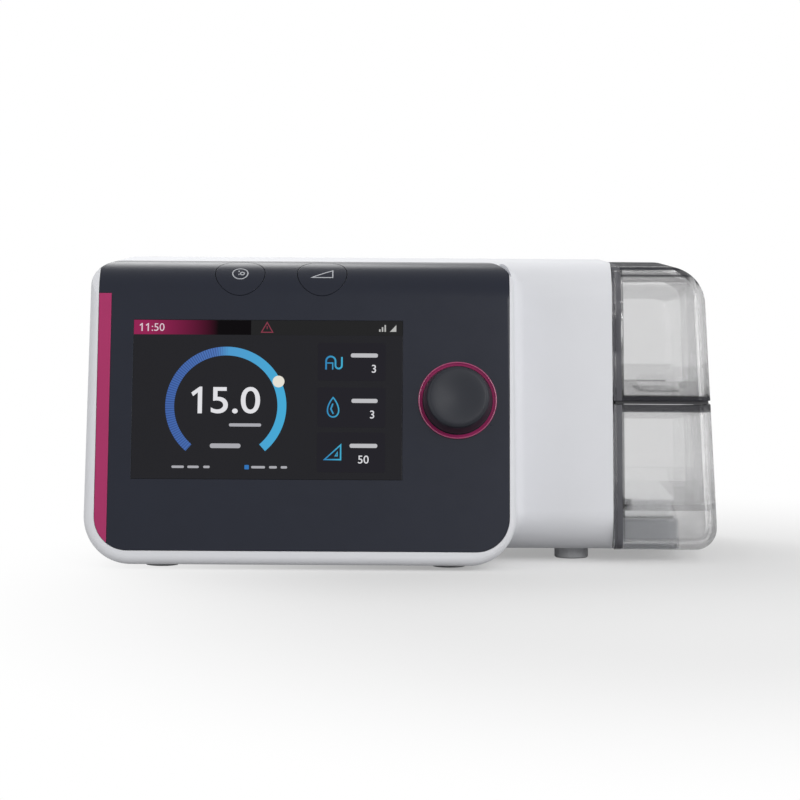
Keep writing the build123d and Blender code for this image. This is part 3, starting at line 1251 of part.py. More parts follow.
with BuildPart() as blower_housing_upper:
    with BuildSketch(Plane.XY.offset(BLOWER_SPLIT)):
        with Locations((BLOWER_X, BLOWER_Y)):
            Circle(BLOWER_RADIUS)
    extrude(amount=UPPER_HEIGHT)
    fillet(edges().group_by(Axis.Z)[-1], radius=HOUSING_ROUND)
    with BuildSketch(Plane.XY.offset(BLOWER_SPLIT)):
        with Locations(*LUG_PLACES):
            Circle(LUG_RADIUS)
    extrude(amount=LUG_THICKNESS)
    with BuildSketch(Plane.XY.offset(BLOWER_TOP)):
        with Locations((BLOWER_X, BLOWER_Y)):
            Circle(TUBE_RADIUS)
    extrude(amount=NECK_HEIGHT)
    with BuildSketch(Plane.XY.offset(BLOWER_SPLIT)):
        with Locations((BLOWER_X, BLOWER_Y)):
            Circle(BLOWER_RADIUS - BLOWER_WALL)
    extrude(amount=UPPER_HEIGHT - BLOWER_WALL, mode=Mode.SUBTRACT)
    with BuildSketch(Plane.XY.offset(BLOWER_SPLIT)):
        with Locations((BLOWER_X, BLOWER_Y)):
            Circle(TUBE_RADIUS - TUBE_WALL)
    extrude(amount=UPPER_HEIGHT + NECK_HEIGHT, mode=Mode.SUBTRACT)
    with BuildSketch(Plane.XY.offset(BLOWER_SPLIT)):
        with Locations(*LUG_PLACES):
            Circle(SCREW_RADIUS + SCREW_CLEARANCE)
    extrude(amount=LUG_THICKNESS, mode=Mode.SUBTRACT)

blower_screw_seats = [
    Plane.XY.offset(BLOWER_SPLIT + LUG_THICKNESS).move(Location((x, y, 0))) for x, y in LUG_PLACES
]
short_screws = screw_group(control_screw_seats + board_screw_seats + blower_screw_seats, SHORT_SCREW)

with BuildPart() as blower_mounts:
    with BuildSketch(Plane.XY.offset(FLOOR_INNER)):
        with Locations(*MOUNT_PLACES):
            Circle(MOUNT_RADIUS)
    extrude(amount=MOUNT_HEIGHT)
    with BuildSketch(Plane.XY.offset(FLOOR_INNER + (MOUNT_HEIGHT - MOUNT_GROOVE) / 2)):
        with Locations(*MOUNT_PLACES):
            Circle(MOUNT_RADIUS + OVERCUT)
            Circle(MOUNT_RADIUS - MOUNT_LIP, mode=Mode.SUBTRACT)
    extrude(amount=MOUNT_GROOVE, mode=Mode.SUBTRACT)

with BuildPart() as motor_bearings:
    for level in (BLOWER_FLOOR, STATOR_TOP + CAP_SKIRT):
        with BuildSketch(Plane.XY.offset(level)):
            with Locations((BLOWER_X, BLOWER_Y)):
                Circle(BEARING_RADIUS)
                Circle(ROTOR_SHAFT_RADIUS + SHAFT_RUNNING, mode=Mode.SUBTRACT)
        extrude(amount=BEARING_HEIGHT)

with BuildPart() as motor_stator:
    with BuildSketch(Plane.XY.offset(STATOR_BASE)):
        with Locations((BLOWER_X, BLOWER_Y)):
            Circle(STATOR_RADIUS)
            Circle(STATOR_RADIUS - STATOR_RING, mode=Mode.SUBTRACT)
            with PolarLocations(STATOR_RADIUS - TOOTH_INSET, STATOR_TEETH):
                Rectangle(TOOTH_LENGTH, TOOTH_WIDTH)
            Circle(MAGNET_RADIUS + AIR_GAP, mode=Mode.SUBTRACT)
    extrude(amount=STATOR_HEIGHT)

with BuildPart() as motor_cap:
    with BuildSketch(Plane.XY.offset(STATOR_TOP)):
        with Locations((BLOWER_X, BLOWER_Y)):
            Circle(STATOR_RADIUS)
            Circle(STATOR_RADIUS - STATOR_RING, mode=Mode.SUBTRACT)
    extrude(amount=CAP_SKIRT)
    with BuildSketch(Plane.XY.offset(STATOR_TOP + CAP_SKIRT)):
        with Locations((BLOWER_X, BLOWER_Y)):
            Circle(STATOR_RADIUS)
            Circle(BEARING_RADIUS, mode=Mode.SUBTRACT)
    extrude(amount=BEARING_HEIGHT)

with BuildPart() as rotor_shaft:
    with BuildSketch(Plane.XY.offset(BLOWER_FLOOR + SHAFT_FLOOR_GAP)):
        with Locations((BLOWER_X, BLOWER_Y)):
            Circle(ROTOR_SHAFT_RADIUS)
    extrude(amount=IMPELLER_BASE + IMPELLER_BORE - BLOWER_FLOOR - SHAFT_FLOOR_GAP)

with BuildPart() as rotor_magnet:
    with BuildSketch(Plane.XY.offset(STATOR_BASE + BEARING_HEIGHT)):
        with Locations((BLOWER_X, BLOWER_Y)):
            Circle(MAGNET_RADIUS)
            Circle(ROTOR_SHAFT_RADIUS + PRESS_FIT, mode=Mode.SUBTRACT)
    extrude(amount=STATOR_TOP - STATOR_BASE - BEARING_HEIGHT)

with BuildPart() as impeller:
    blade_end = IMPELLER_RADIUS - BLADE_END_GAP
    with BuildSketch(Plane.XY.offset(IMPELLER_BASE)):
        with Locations((BLOWER_X, BLOWER_Y)):
            Circle(IMPELLER_RADIUS)
    extrude(amount=IMPELLER_DISC)
    with BuildSketch(Plane.XY.offset(IMPELLER_BASE)):
        with Locations((BLOWER_X, BLOWER_Y)):
            Circle(IMPELLER_HUB)
    extrude(amount=IMPELLER_HEIGHT)
    with BuildSketch(Plane.XY.offset(IMPELLER_BASE + IMPELLER_DISC)):
        with Locations((BLOWER_X, BLOWER_Y)):
            with PolarLocations((blade_end + BLADE_START) / 2, BLADE_COUNT):
                Rectangle(blade_end - BLADE_START, BLADE_THICKNESS, rotation=BLADE_SWEEP)
    extrude(amount=IMPELLER_HEIGHT - IMPELLER_DISC - BLADE_TOP_GAP)
    with BuildSketch(Plane.XY.offset(IMPELLER_BASE)):
        with Locations((BLOWER_X, BLOWER_Y)):
            Circle(ROTOR_SHAFT_RADIUS + PRESS_FIT)
    extrude(amount=IMPELLER_BORE, mode=Mode.SUBTRACT)

# ---------------------------------------------------------------- ducts
DOCK_INNER = X_DOCK - WALL
DUCT_X = X_DOCK - DUCT_FROM_DOCK
FLANGE_RADIUS = DOCK_BORE + SEAL_WIDTH + FLANGE_LIP
SLEEVE_START = OUTLET_END - SLEEVE_LENGTH
SENSOR_Z = OUTLET_Z + SENSOR_RISE
TUBE_BORE = TUBE_RADIUS - TUBE_WALL
SLEEVE_RADIUS = TUBE_RADIUS + SLEEVE_CLEARANCE + TUBE_WALL

air_duct_tube = bent_tube(
    [
        (OUTLET_END, FRONT_PORT_Y, OUTLET_Z),
        (DUCT_X, FRONT_PORT_Y, OUTLET_Z),
        (DUCT_X, FRONT_PORT_Y, PORT_HEIGHT),
        (DOCK_INNER, FRONT_PORT_Y, PORT_HEIGHT),
    ],
    TUBE_RADIUS, TUBE_BORE, TUBE_BEND,
)
outlet_duct_tube = bent_tube(
    [
        (DOCK_INNER, REAR_PORT_Y, PORT_HEIGHT),
        (ELBOW_X + OUTLET_RUN, REAR_PORT_Y, PORT_HEIGHT),
        (ELBOW_X, REAR_PORT_Y, ELBOW_UP),
        (ELBOW_X, REAR - SEAT_DEPTH, ELBOW_UP),
    ],
    TUBE_RADIUS, TUBE_BORE, OUTLET_TUBE_BEND,
)
inlet_duct_tube = bent_tube(
    [
        (BLOWER_X, BLOWER_Y, NECK_TOP + TUBE_GAP),
        (BLOWER_X, BLOWER_Y, INLET_Z),
        (BOX_RIGHT, BLOWER_Y, INLET_Z),
    ],
    TUBE_RADIUS, TUBE_BORE, TUBE_BEND,
)

with BuildPart() as air_duct:
    add(air_duct_tube)
    with BuildSketch(Plane.YZ.offset(SLEEVE_START)):
        with Locations((FRONT_PORT_Y, OUTLET_Z)):
            Circle(SLEEVE_RADIUS)
            Circle(TUBE_RADIUS + SLEEVE_CLEARANCE, mode=Mode.SUBTRACT)
    extrude(amount=SLEEVE_LENGTH + TUBE_GAP)
    with BuildSketch(Plane.YZ.offset(OUTLET_END + TUBE_GAP)):
        with Locations((FRONT_PORT_Y, OUTLET_Z)):
            Circle(SLEEVE_RADIUS)
            Circle(TUBE_BORE, mode=Mode.SUBTRACT)
    extrude(amount=FLANGE)
    with BuildSketch(Plane.YZ.offset(DOCK_INNER)):
        with Locations((FRONT_PORT_Y, PORT_HEIGHT)):
            Circle(FLANGE_RADIUS)
            Circle(TUBE_BORE, mode=Mode.SUBTRACT)
    extrude(amount=-FLANGE)
    with BuildSketch(Plane.XZ.offset(-(FRONT_PORT_Y + TUBE_BORE + TUBE_WALL / 2))):
        with Locations((DUCT_X, SENSOR_Z)):
            Rectangle(SENSOR_WIDTH - 2 * SENSOR_SEAT, SENSOR_LENGTH - 2 * SENSOR_SEAT)
    extrude(amount=-(TUBE_WALL / 2 + SENSOR_PAD))
    with BuildSketch(Plane.YZ.offset(OUTLET_END)):
        with Locations((FRONT_PORT_Y, OUTLET_Z)):
            Circle(TUBE_RADIUS + SLEEVE_CLEARANCE)
    extrude(amount=-SLEEVE_LENGTH, mode=Mode.SUBTRACT)
    with BuildSketch(Plane.YZ.offset(OUTLET_END)):
        with Locations((FRONT_PORT_Y, OUTLET_Z)):
            Circle(TUBE_RADIUS + SLEEVE_CLEARANCE)
            Circle(TUBE_BORE, mode=Mode.SUBTRACT)
    extrude(amount=TUBE_GAP, mode=Mode.SUBTRACT)

with BuildPart() as flow_sensor:
    sensor_y = FRONT_PORT_Y + TUBE_RADIUS + SENSOR_PAD
    with BuildSketch(Plane.XZ.offset(-sensor_y)):
        with Locations((DUCT_X, SENSOR_Z)):
            RectangleRounded(SENSOR_WIDTH, SENSOR_LENGTH, SENSOR_ROUND)
    extrude(amount=-SENSOR_THICKNESS)
    with BuildSketch(Plane.XZ.offset(-(sensor_y + SENSOR_THICKNESS))):
        with Locations((DUCT_X, SENSOR_Z)):
            with GridLocations(0, NIPPLE_PITCH, 1, 2):
                Circle(NIPPLE_RADIUS)
    extrude(amount=-NIPPLE_LENGTH)

with BuildPart() as outlet_duct:
    add(outlet_duct_tube)
    with BuildSketch(Plane.YZ.offset(DOCK_INNER)):
        with Locations((REAR_PORT_Y, PORT_HEIGHT)):
            Circle(FLANGE_RADIUS)
            Circle(TUBE_BORE, mode=Mode.SUBTRACT)
    extrude(amount=-FLANGE)
    with BuildSketch(Plane.XZ.offset(-(REAR - SEAT_DEPTH))):
        with Locations((ELBOW_X, ELBOW_UP)):
            Circle(FLANGE_RADIUS)
            Circle(TUBE_BORE, mode=Mode.SUBTRACT)
    extrude(amount=FLANGE)

with BuildPart() as inlet_duct:
    add(inlet_duct_tube)
    with BuildSketch(Plane.XY.offset(NECK_TOP + TUBE_GAP + FLANGE)):
        with Locations((BLOWER_X, BLOWER_Y)):
            Circle(SLEEVE_RADIUS)
            Circle(TUBE_BORE, mode=Mode.SUBTRACT)
    extrude(amount=-FLANGE)
    with BuildSketch(Plane.XY.offset(NECK_TOP + TUBE_GAP)):
        with Locations((BLOWER_X, BLOWER_Y)):
            Circle(SLEEVE_RADIUS)
            Circle(TUBE_RADIUS + SLEEVE_CLEARANCE, mode=Mode.SUBTRACT)
    extrude(amount=-(NECK_HEIGHT - FLANGE))
    with BuildSketch(Plane.YZ.offset(BOX_RIGHT)):
        with Locations((BLOWER_Y, INLET_Z)):
            Circle(TUBE_RADIUS + MARGIN)
            Circle(TUBE_BORE, mode=Mode.SUBTRACT)
    extrude(amount=FLANGE)

with BuildPart() as port_seals:
    for y in (FRONT_PORT_Y, REAR_PORT_Y):
        with BuildSketch(Plane.YZ.offset(X_DOCK - SEAL_DEPTH)):
            with Locations((y, PORT_HEIGHT)):
                Circle(DOCK_BORE + SEAL_WIDTH)
                Circle(DOCK_BORE, mode=Mode.SUBTRACT)
        extrude(amount=SEAL_DEPTH + SEAL_PROUD)

# ---------------------------------------------------------------- outlet elbow
SEAT_BORE = STUB_RADIUS + SEAT_RUNNING
ORING_Y = REAR - SEAT_DEPTH / 2
ORING_INNER = STUB_RADIUS + SOFT_GAP
ELBOW_Y = REAR + ELBOW_REACH
PORT_LOW = PORT_TOP - PORT_LENGTH

with BuildPart() as elbow_seat:
    with BuildSketch(Plane.XZ.offset(-REAR)):
        with Locations((ELBOW_X, ELBOW_UP)):
            Circle(SEAT_RADIUS)
    extrude(amount=SEAT_DEPTH)
    with BuildSketch(Plane.XZ.offset(-REAR_INNER)):
        with Locations((ELBOW_X, ELBOW_UP)):
            Circle(SEAT_RADIUS + SEAT_FLANGE)
    extrude(amount=SEAT_FLANGE_THICKNESS)
    with BuildSketch(Plane.XZ.offset(-REAR)):
        with Locations((ELBOW_X, ELBOW_UP)):
            Circle(SEAT_BORE)
    extrude(amount=SEAT_DEPTH, mode=Mode.SUBTRACT)
    with BuildSketch(Plane.XZ.offset(-(ORING_Y + ORING_RADIUS + ORING_GAP))):
        with Locations((ELBOW_X, ELBOW_UP)):
            Circle(ORING_INNER + 2 * ORING_RADIUS + ORING_GAP / 2)
    extrude(amount=2 * (ORING_RADIUS + ORING_GAP), mode=Mode.SUBTRACT)

with BuildPart() as elbow_oring:
    with BuildSketch(Plane.YZ.offset(ELBOW_X)):
        with Locations((ORING_Y, ELBOW_UP + ORING_INNER + ORING_RADIUS)):
            Circle(ORING_RADIUS)
    revolve(axis=Axis((ELBOW_X, 0, ELBOW_UP), (0, 1, 0)))

elbow_route = [
    (ELBOW_X, REAR + ELBOW_GAP, ELBOW_UP),
    (ELBOW_X, ELBOW_Y, ELBOW_UP),
    (ELBOW_X, ELBOW_Y, PORT_LOW),
]
elbow_bend = bent_tube(elbow_route, ELBOW_RADIUS, ELBOW_BORE, ELBOW_BEND)

with BuildPart() as outlet_elbow:
    add(elbow_bend)
    with BuildSketch(Plane.XY.offset(PORT_LOW)):
        with Locations((ELBOW_X, ELBOW_Y)):
            Circle(PORT_RADIUS)
            Circle(ELBOW_BORE, mode=Mode.SUBTRACT)
    extrude(amount=PORT_LENGTH)
    with BuildSketch(Plane.XZ.offset(-(REAR + ELBOW_GAP))):
        with Locations((ELBOW_X, ELBOW_UP)):
            Circle(STUB_RADIUS)
            Circle(ELBOW_BORE, mode=Mode.SUBTRACT)
    extrude(amount=SEAT_DEPTH)

# ---------------------------------------------------------------- humidifier heater
PLATFORM_END = X_DOCK + PLATFORM_LENGTH
PLATFORM_Y = (PLATFORM_Y0 + PLATFORM_Y1) / 2
HEATER_X = X_DOCK + PLATFORM_LENGTH / 2
FLOOR_LOW = FLOOR_TOP - FLOOR_THICKNESS
HEATER_TOP = FLOOR_LOW - HEATER_GAP
HEATER_LOW = HEATER_TOP - HEATER_THICKNESS
POCKET_FLOOR = HEATER_LOW - HEATER_TRAVEL - HEATER_END_GAP
GUIDE_END = SPRING_SEAT - GUIDE_REACH
GUIDE_PLACES = [(HEATER_X, PLATFORM_Y - GUIDE_SPREAD / 2), (HEATER_X, PLATFORM_Y + GUIDE_SPREAD / 2)]

with BuildPart() as heater_platform:
    with BuildSketch(Plane.XZ.offset(-PLATFORM_Y0)) as view:
        with BuildLine():
            Polyline(
                (X_DOCK, HUMIDIFIER_BASE), (PLATFORM_END, HUMIDIFIER_BASE),
                (PLATFORM_END, PLATFORM_TOP), (X_DOCK, PLATFORM_TOP), close=True,
            )
        make_face()
        fillet(corner_near(view, PLATFORM_END, PLATFORM_TOP), radius=PLATFORM_ROUND / 2)
    extrude(amount=-(PLATFORM_Y1 - PLATFORM_Y0))
    with BuildSketch(Plane.XY.offset(HUMIDIFIER_BASE)) as plan:
        with BuildLine():
            Polyline(
                (X_DOCK, PLATFORM_Y0), (PLATFORM_END, PLATFORM_Y0), (PLATFORM_END, PLATFORM_Y1),
                (X_DOCK, PLATFORM_Y1), close=True,
            )
        make_face()
        fillet(corner_near(plan, PLATFORM_END, PLATFORM_Y0), radius=PLATFORM_ROUND)
        fillet(corner_near(plan, PLATFORM_END, PLATFORM_Y1), radius=PLATFORM_ROUND)
    extrude(amount=PLATFORM_TOP - HUMIDIFIER_BASE, mode=Mode.INTERSECT)
    with BuildSketch(Plane.XY.offset(POCKET_FLOOR)):
        with Locations((HEATER_X, PLATFORM_Y)):
            RectangleRounded(
                HEATER_WIDTH + 2 * HEATER_SIDE_GAP,
                HEATER_LENGTH + 2 * HEATER_SIDE_GAP,
                HEATER_CORNER + HEATER_SIDE_GAP,
            )
    extrude(amount=PLATFORM_TOP - POCKET_FLOOR, mode=Mode.SUBTRACT)
    with BuildSketch(Plane.XY.offset(SPRING_SEAT)):
        with Locations(*GUIDE_PLACES):
            Circle(SPRING_RADIUS + SPRING_WIRE + SPRING_CLEARANCE)
    extrude(amount=POCKET_FLOOR - SPRING_SEAT, mode=Mode.SUBTRACT)
    with BuildSketch(Plane.XY.offset(HUMIDIFIER_BASE)):
        with Locations(*GUIDE_PLACES):
            Circle(GUIDE_RADIUS + GUIDE_CLEARANCE)
    extrude(amount=SPRING_SEAT - HUMIDIFIER_BASE, mode=Mode.SUBTRACT)
    with BuildSketch(Plane.YZ.offset(X_DOCK)):
        with Locations(*PLATFORM_SCREWS):
            Circle(SCREW_RADIUS + SCREW_CLEARANCE)
    extrude(amount=PLATFORM_SCREW_DEPTH, mode=Mode.SUBTRACT)

with BuildPart() as heater_plate:
    with BuildSketch(Plane.XY.offset(HEATER_LOW)):
        with Locations((HEATER_X, PLATFORM_Y)):
            RectangleRounded(HEATER_WIDTH, HEATER_LENGTH, HEATER_CORNER)
    extrude(amount=HEATER_THICKNESS)
    with BuildSketch(Plane.XY.offset(HEATER_LOW)):
        with Locations(*GUIDE_PLACES):
            Circle(GUIDE_RADIUS)
    extrude(amount=-(HEATER_LOW - GUIDE_END))

with BuildPart() as heater_springs:
    spring_rise = HEATER_LOW - SPRING_SEAT - SPRING_WIRE
    for x, y in GUIDE_PLACES:
        with BuildLine() as coil:
            Helix(
                pitch=spring_rise / SPRING_TURNS, height=spring_rise, radius=SPRING_RADIUS,
                center=(x, y, SPRING_SEAT + SPRING_WIRE / 2),
            )
        with BuildSketch(Plane(origin=coil.line @ 0, z_dir=coil.line % 0)):
            Circle(SPRING_WIRE / 2)
        sweep(path=coil.line, is_frenet=True)

# ---------------------------------------------------------------- ribbons
FLEX_OVERLAP = 8.0  # ribbon on the back of the control board
FLEX_TAIL = 6.0  # straight stretch below the board
FLEX_RUN = 4.0  # level stretch before the main board
FLEX_BEND = 3.0
flex_depth = CONTROL_BOARD_DEPTH + PCB + FLEX / 2
flex_z = BOARD_TOP + PLUG_HEIGHT + FLEX / 2
board_foot = CONTROL_BOARD_UP - CONTROL_BOARD_HEIGHT / 2
flex_points = [
    (FRONT + up * LEAN_SIN + flex_depth * LEAN_COS, up * LEAN_COS - flex_depth * LEAN_SIN)
    for up in (board_foot + FLEX_OVERLAP, board_foot - FLEX_TAIL)
]
flex_points += [(BOARD_FRONT - FLEX_RUN, flex_z), (DISPLAY_PLUG_Y, flex_z)]
display_flex = ribbon(
    Plane(origin=(BOARD_X, 0, 0), x_dir=(0, 1, 0), z_dir=(1, 0, 0)),
    flex_points, PLUG_LENGTH - 2 * MARGIN, FLEX, FLEX_BEND,
)
blower_side = sqrt(BLOWER_RADIUS**2 - (BLOWER_Y - MOTOR_LEAD_Y - LEAD_WIDTH / 2) ** 2)
MOTOR_LEAD_RISE = 5.0  # entry above the blower's underside
LEAD_DROP = 3.0  # along X, while a lead changes its level
LEAD_FLOOR_GAP = 0.8
HEATER_LEAD_TURN = 6.0
MOTOR_LEAD_BEND = 1.2
HEATER_LEAD_BEND = 1.5
lead_z = BOARD_TOP + PLUG_HEIGHT + LEAD_RISE
motor_lead = ribbon(
    Plane(origin=(0, MOTOR_LEAD_Y, 0), x_dir=(1, 0, 0), z_dir=(0, -1, 0)),
    [
        (LEAD_PLUG_X, lead_z),
        (BOARD_RIGHT, lead_z),
        (BOARD_RIGHT + LEAD_DROP, BLOWER_BASE + MOTOR_LEAD_RISE),
        (BLOWER_X - blower_side - GLUE, BLOWER_BASE + MOTOR_LEAD_RISE),
    ],
    LEAD_WIDTH, LEAD_THICKNESS, MOTOR_LEAD_BEND,
)
heater_lead = ribbon(
    Plane(origin=(0, HEATER_LEAD_Y, 0), x_dir=(1, 0, 0), z_dir=(0, -1, 0)),
    [
        (LEAD_PLUG_X, lead_z),
        (BOARD_RIGHT + MARGIN, lead_z),
        (BOARD_RIGHT + MARGIN + LEAD_DROP, FLOOR_INNER + LEAD_FLOOR_GAP),
        (BASE_RIGHT - HEATER_LEAD_TURN, FLOOR_INNER + LEAD_FLOOR_GAP),
        (X_STEP - WALL, PLATFORM_SCREW_Z),
        (X_DOCK - GLUE, PLATFORM_SCREW_Z),
    ],
    LEAD_WIDTH, LEAD_THICKNESS, HEATER_LEAD_BEND,
)
with BuildPart() as wire_leads:
    add(motor_lead)
    add(heater_lead)

# ---------------------------------------------------------------- water tank
SEAM_TOP = SEAM_HEIGHT + SEAM_GAP / 2
SEAM_LOW = SEAM_HEIGHT - SEAM_GAP / 2
HINGE_Y = REAR + HINGE_RADIUS + HINGE_GAP
HINGE_LEFT = X_TANK + HINGE_MARGIN
HINGE_RIGHT = X_RIGHT - TANK_DRAFT - HINGE_MARGIN
HEAT_LEFT = X_TANK + TANK_DOCK_WALL + HEAT_LIP + GLUE
HEAT_RIGHT = HEATER_X + HEATER_WIDTH / 2
HEAT_X = (HEAT_LEFT + HEAT_RIGHT) / 2
BAFFLE_X = (X_TANK + TANK_DOCK_WALL + X_RIGHT - TANK_WALL - TANK_DRAFT / 2) / 2
HEAT_WIDTH = HEAT_RIGHT - HEAT_LEFT


def tank_form(side, dock_side, bottom):
    """Outer form of the tank drawn in by a wall: side all round, dock_side at the left."""
    return body_form(
        X_TANK + dock_side, X_RIGHT - side, POD_STEP + side / LEAN_COS, bottom, TANK_TOP - side,
        REAR - side, (0, TANK_LOW_CORNER - side), (0, TANK_TOP_CORNER - side), (0, TANK_DRAFT),
        (TOP_ROUND - TANK_DROP - side, REAR_ROUND - side), rim=TANK_RIM - side, open_left=True,
    )


def slab(low, high):
    """Level slab larger than the machine, to cut a form at two heights."""
    with BuildPart() as block:
        with BuildSketch(Plane.XY.offset(low)):
            Rectangle(3 * POD_WIDTH, 3 * BODY_DEPTH)
        extrude(amount=high - low)
    return block.part


tank_outer = tank_form(0, 0, TANK_BASE)
tank_inner = tank_form(TANK_WALL, TANK_DOCK_WALL, TANK_BASE + TANK_WALL)
seal_outer = tank_form(SEAL_INSET, SEAL_INSET, TANK_BASE)
seal_inner = tank_form(SEAL_INSET + SEAL_BAND, SEAL_INSET + SEAL_BAND, TANK_BASE)
baffle_outline = tank_form(TANK_WALL + BAFFLE_GAP, TANK_DOCK_WALL + BAFFLE_GAP, TANK_BASE + TANK_WALL)
lid_slab = slab(SEAM_TOP, HEIGHT + SPARE)
tub_slab = slab(0, SEAM_LOW)
seal_slab = slab(SEAM_LOW + SOFT_GAP, SEAM_TOP)
baffle_slab = slab(SEAM_TOP, SEAM_TOP + BAFFLE_THICKNESS)
floor_slab = slab(FLOOR_LOW, FLOOR_TOP)

with BuildPart() as tank_lid:
    add(tank_outer)
    add(lid_slab, mode=Mode.INTERSECT)
    add(tank_inner, mode=Mode.SUBTRACT)
    for y in (FRONT_PORT_Y, REAR_PORT_Y):
        with BuildSketch(Plane.YZ.offset(X_TANK)):
            with Locations((y, PORT_HEIGHT)):
                Circle(DOCK_BORE)
        extrude(amount=TANK_DOCK_WALL, mode=Mode.SUBTRACT)
    # Middle knuckle of the hinge and its web
    with BuildSketch(Plane.YZ.offset(HINGE_LEFT + KNUCKLE + KNUCKLE_GAP)):
        with Locations((HINGE_Y, SEAM_HEIGHT)):
            Circle(HINGE_RADIUS)
        with Locations(((REAR - HINGE_ROOT + HINGE_Y) / 2, (SEAM_TOP + SEAM_HEIGHT + HINGE_RADIUS) / 2)):
            Rectangle(HINGE_Y - REAR + HINGE_ROOT, SEAM_HEIGHT + HINGE_RADIUS - SEAM_TOP)
    extrude(amount=HINGE_RIGHT - HINGE_LEFT - 2 * (KNUCKLE + KNUCKLE_GAP))
    with BuildSketch(Plane.YZ.offset(HINGE_LEFT)):
        with Locations((HINGE_Y, SEAM_HEIGHT)):
            Circle(HINGE_PIN_RADIUS + HINGE_RUNNING)
    extrude(amount=HINGE_RIGHT - HINGE_LEFT, mode=Mode.SUBTRACT)

with BuildPart() as tank_tub:
    add(tank_outer)
    add(tub_slab, mode=Mode.INTERSECT)
    add(tank_inner, mode=Mode.SUBTRACT)
    add(tank_outer.intersect(floor_slab))
    # Tunnel for the heater platform, open to the left and below
    tunnel_left = X_TANK - OVERCUT
    tunnel_right = PLATFORM_END + TUNNEL_GAP
    with BuildSketch(Plane.XY.offset(TANK_BASE - OVERCUT)):
        with Locations(((tunnel_left + tunnel_right) / 2, PLATFORM_Y)):
            Rectangle(tunnel_right - tunnel_left, PLATFORM_Y1 - PLATFORM_Y0 + 2 * TUNNEL_GAP)
    extrude(amount=FLOOR_LOW - TANK_BASE + OVERCUT, mode=Mode.SUBTRACT)
    with BuildSketch(Plane.XY.offset(FLOOR_LOW)):
        with Locations((HEAT_X, PLATFORM_Y)):
            RectangleRounded(HEAT_WIDTH, HEATER_LENGTH, HEAT_CORNER)
    extrude(amount=FLOOR_THICKNESS, mode=Mode.SUBTRACT)
    # Outer knuckles of the hinge and their webs
    for x in (HINGE_LEFT, HINGE_RIGHT - KNUCKLE):
        with BuildSketch(Plane.YZ.offset(x)):
            with Locations((HINGE_Y, SEAM_HEIGHT)):
                Circle(HINGE_RADIUS)
            with Locations(((REAR - HINGE_ROOT + HINGE_Y) / 2, (SEAM_LOW + SEAM_HEIGHT - HINGE_RADIUS) / 2)):
                Rectangle(HINGE_Y - REAR + HINGE_ROOT, SEAM_LOW - SEAM_HEIGHT + HINGE_RADIUS)
        extrude(amount=KNUCKLE)
        with BuildSketch(Plane.YZ.offset(x)):
            with Locations((HINGE_Y, SEAM_HEIGHT)):
                Circle(HINGE_PIN_RADIUS + PRESS_FIT)
        extrude(amount=KNUCKLE, mode=Mode.SUBTRACT)

with BuildPart() as tank_hinge_pin:
    with BuildSketch(Plane.YZ.offset(HINGE_LEFT)):
        with Locations((HINGE_Y, SEAM_HEIGHT)):
            Circle(HINGE_PIN_RADIUS)
    extrude(amount=HINGE_RIGHT - HINGE_LEFT)

with BuildPart() as tank_heat_plate:
    with BuildSketch(Plane.XY.offset(FLOOR_LOW)):
        with Locations((HEAT_X, PLATFORM_Y)):
            RectangleRounded(HEAT_WIDTH - GLUE, HEATER_LENGTH - GLUE, HEAT_CORNER - GLUE / 2)
    extrude(amount=FLOOR_THICKNESS)
    with BuildSketch(Plane.XY.offset(FLOOR_TOP)):
        with Locations((HEAT_X, PLATFORM_Y)):
            RectangleRounded(HEAT_WIDTH + 2 * HEAT_LIP, HEATER_LENGTH + 2 * HEAT_LIP, HEAT_CORNER + HEAT_LIP)
    extrude(amount=HEAT_LIP)

with BuildPart() as tank_seal:
    add(seal_outer)
    add(seal_inner, mode=Mode.SUBTRACT)
    add(seal_slab, mode=Mode.INTERSECT)

with BuildPart() as tank_baffle:
    add(baffle_outline)
    add(baffle_slab, mode=Mode.INTERSECT)
    with BuildSketch(Plane.XY.offset(SEAM_TOP)):
        with Locations((BAFFLE_X, PLATFORM_Y)):
            SlotOverall(BAFFLE_HOLE_LENGTH, BAFFLE_HOLE_WIDTH, rotation=90)
    extrude(amount=BAFFLE_THICKNESS, mode=Mode.SUBTRACT)

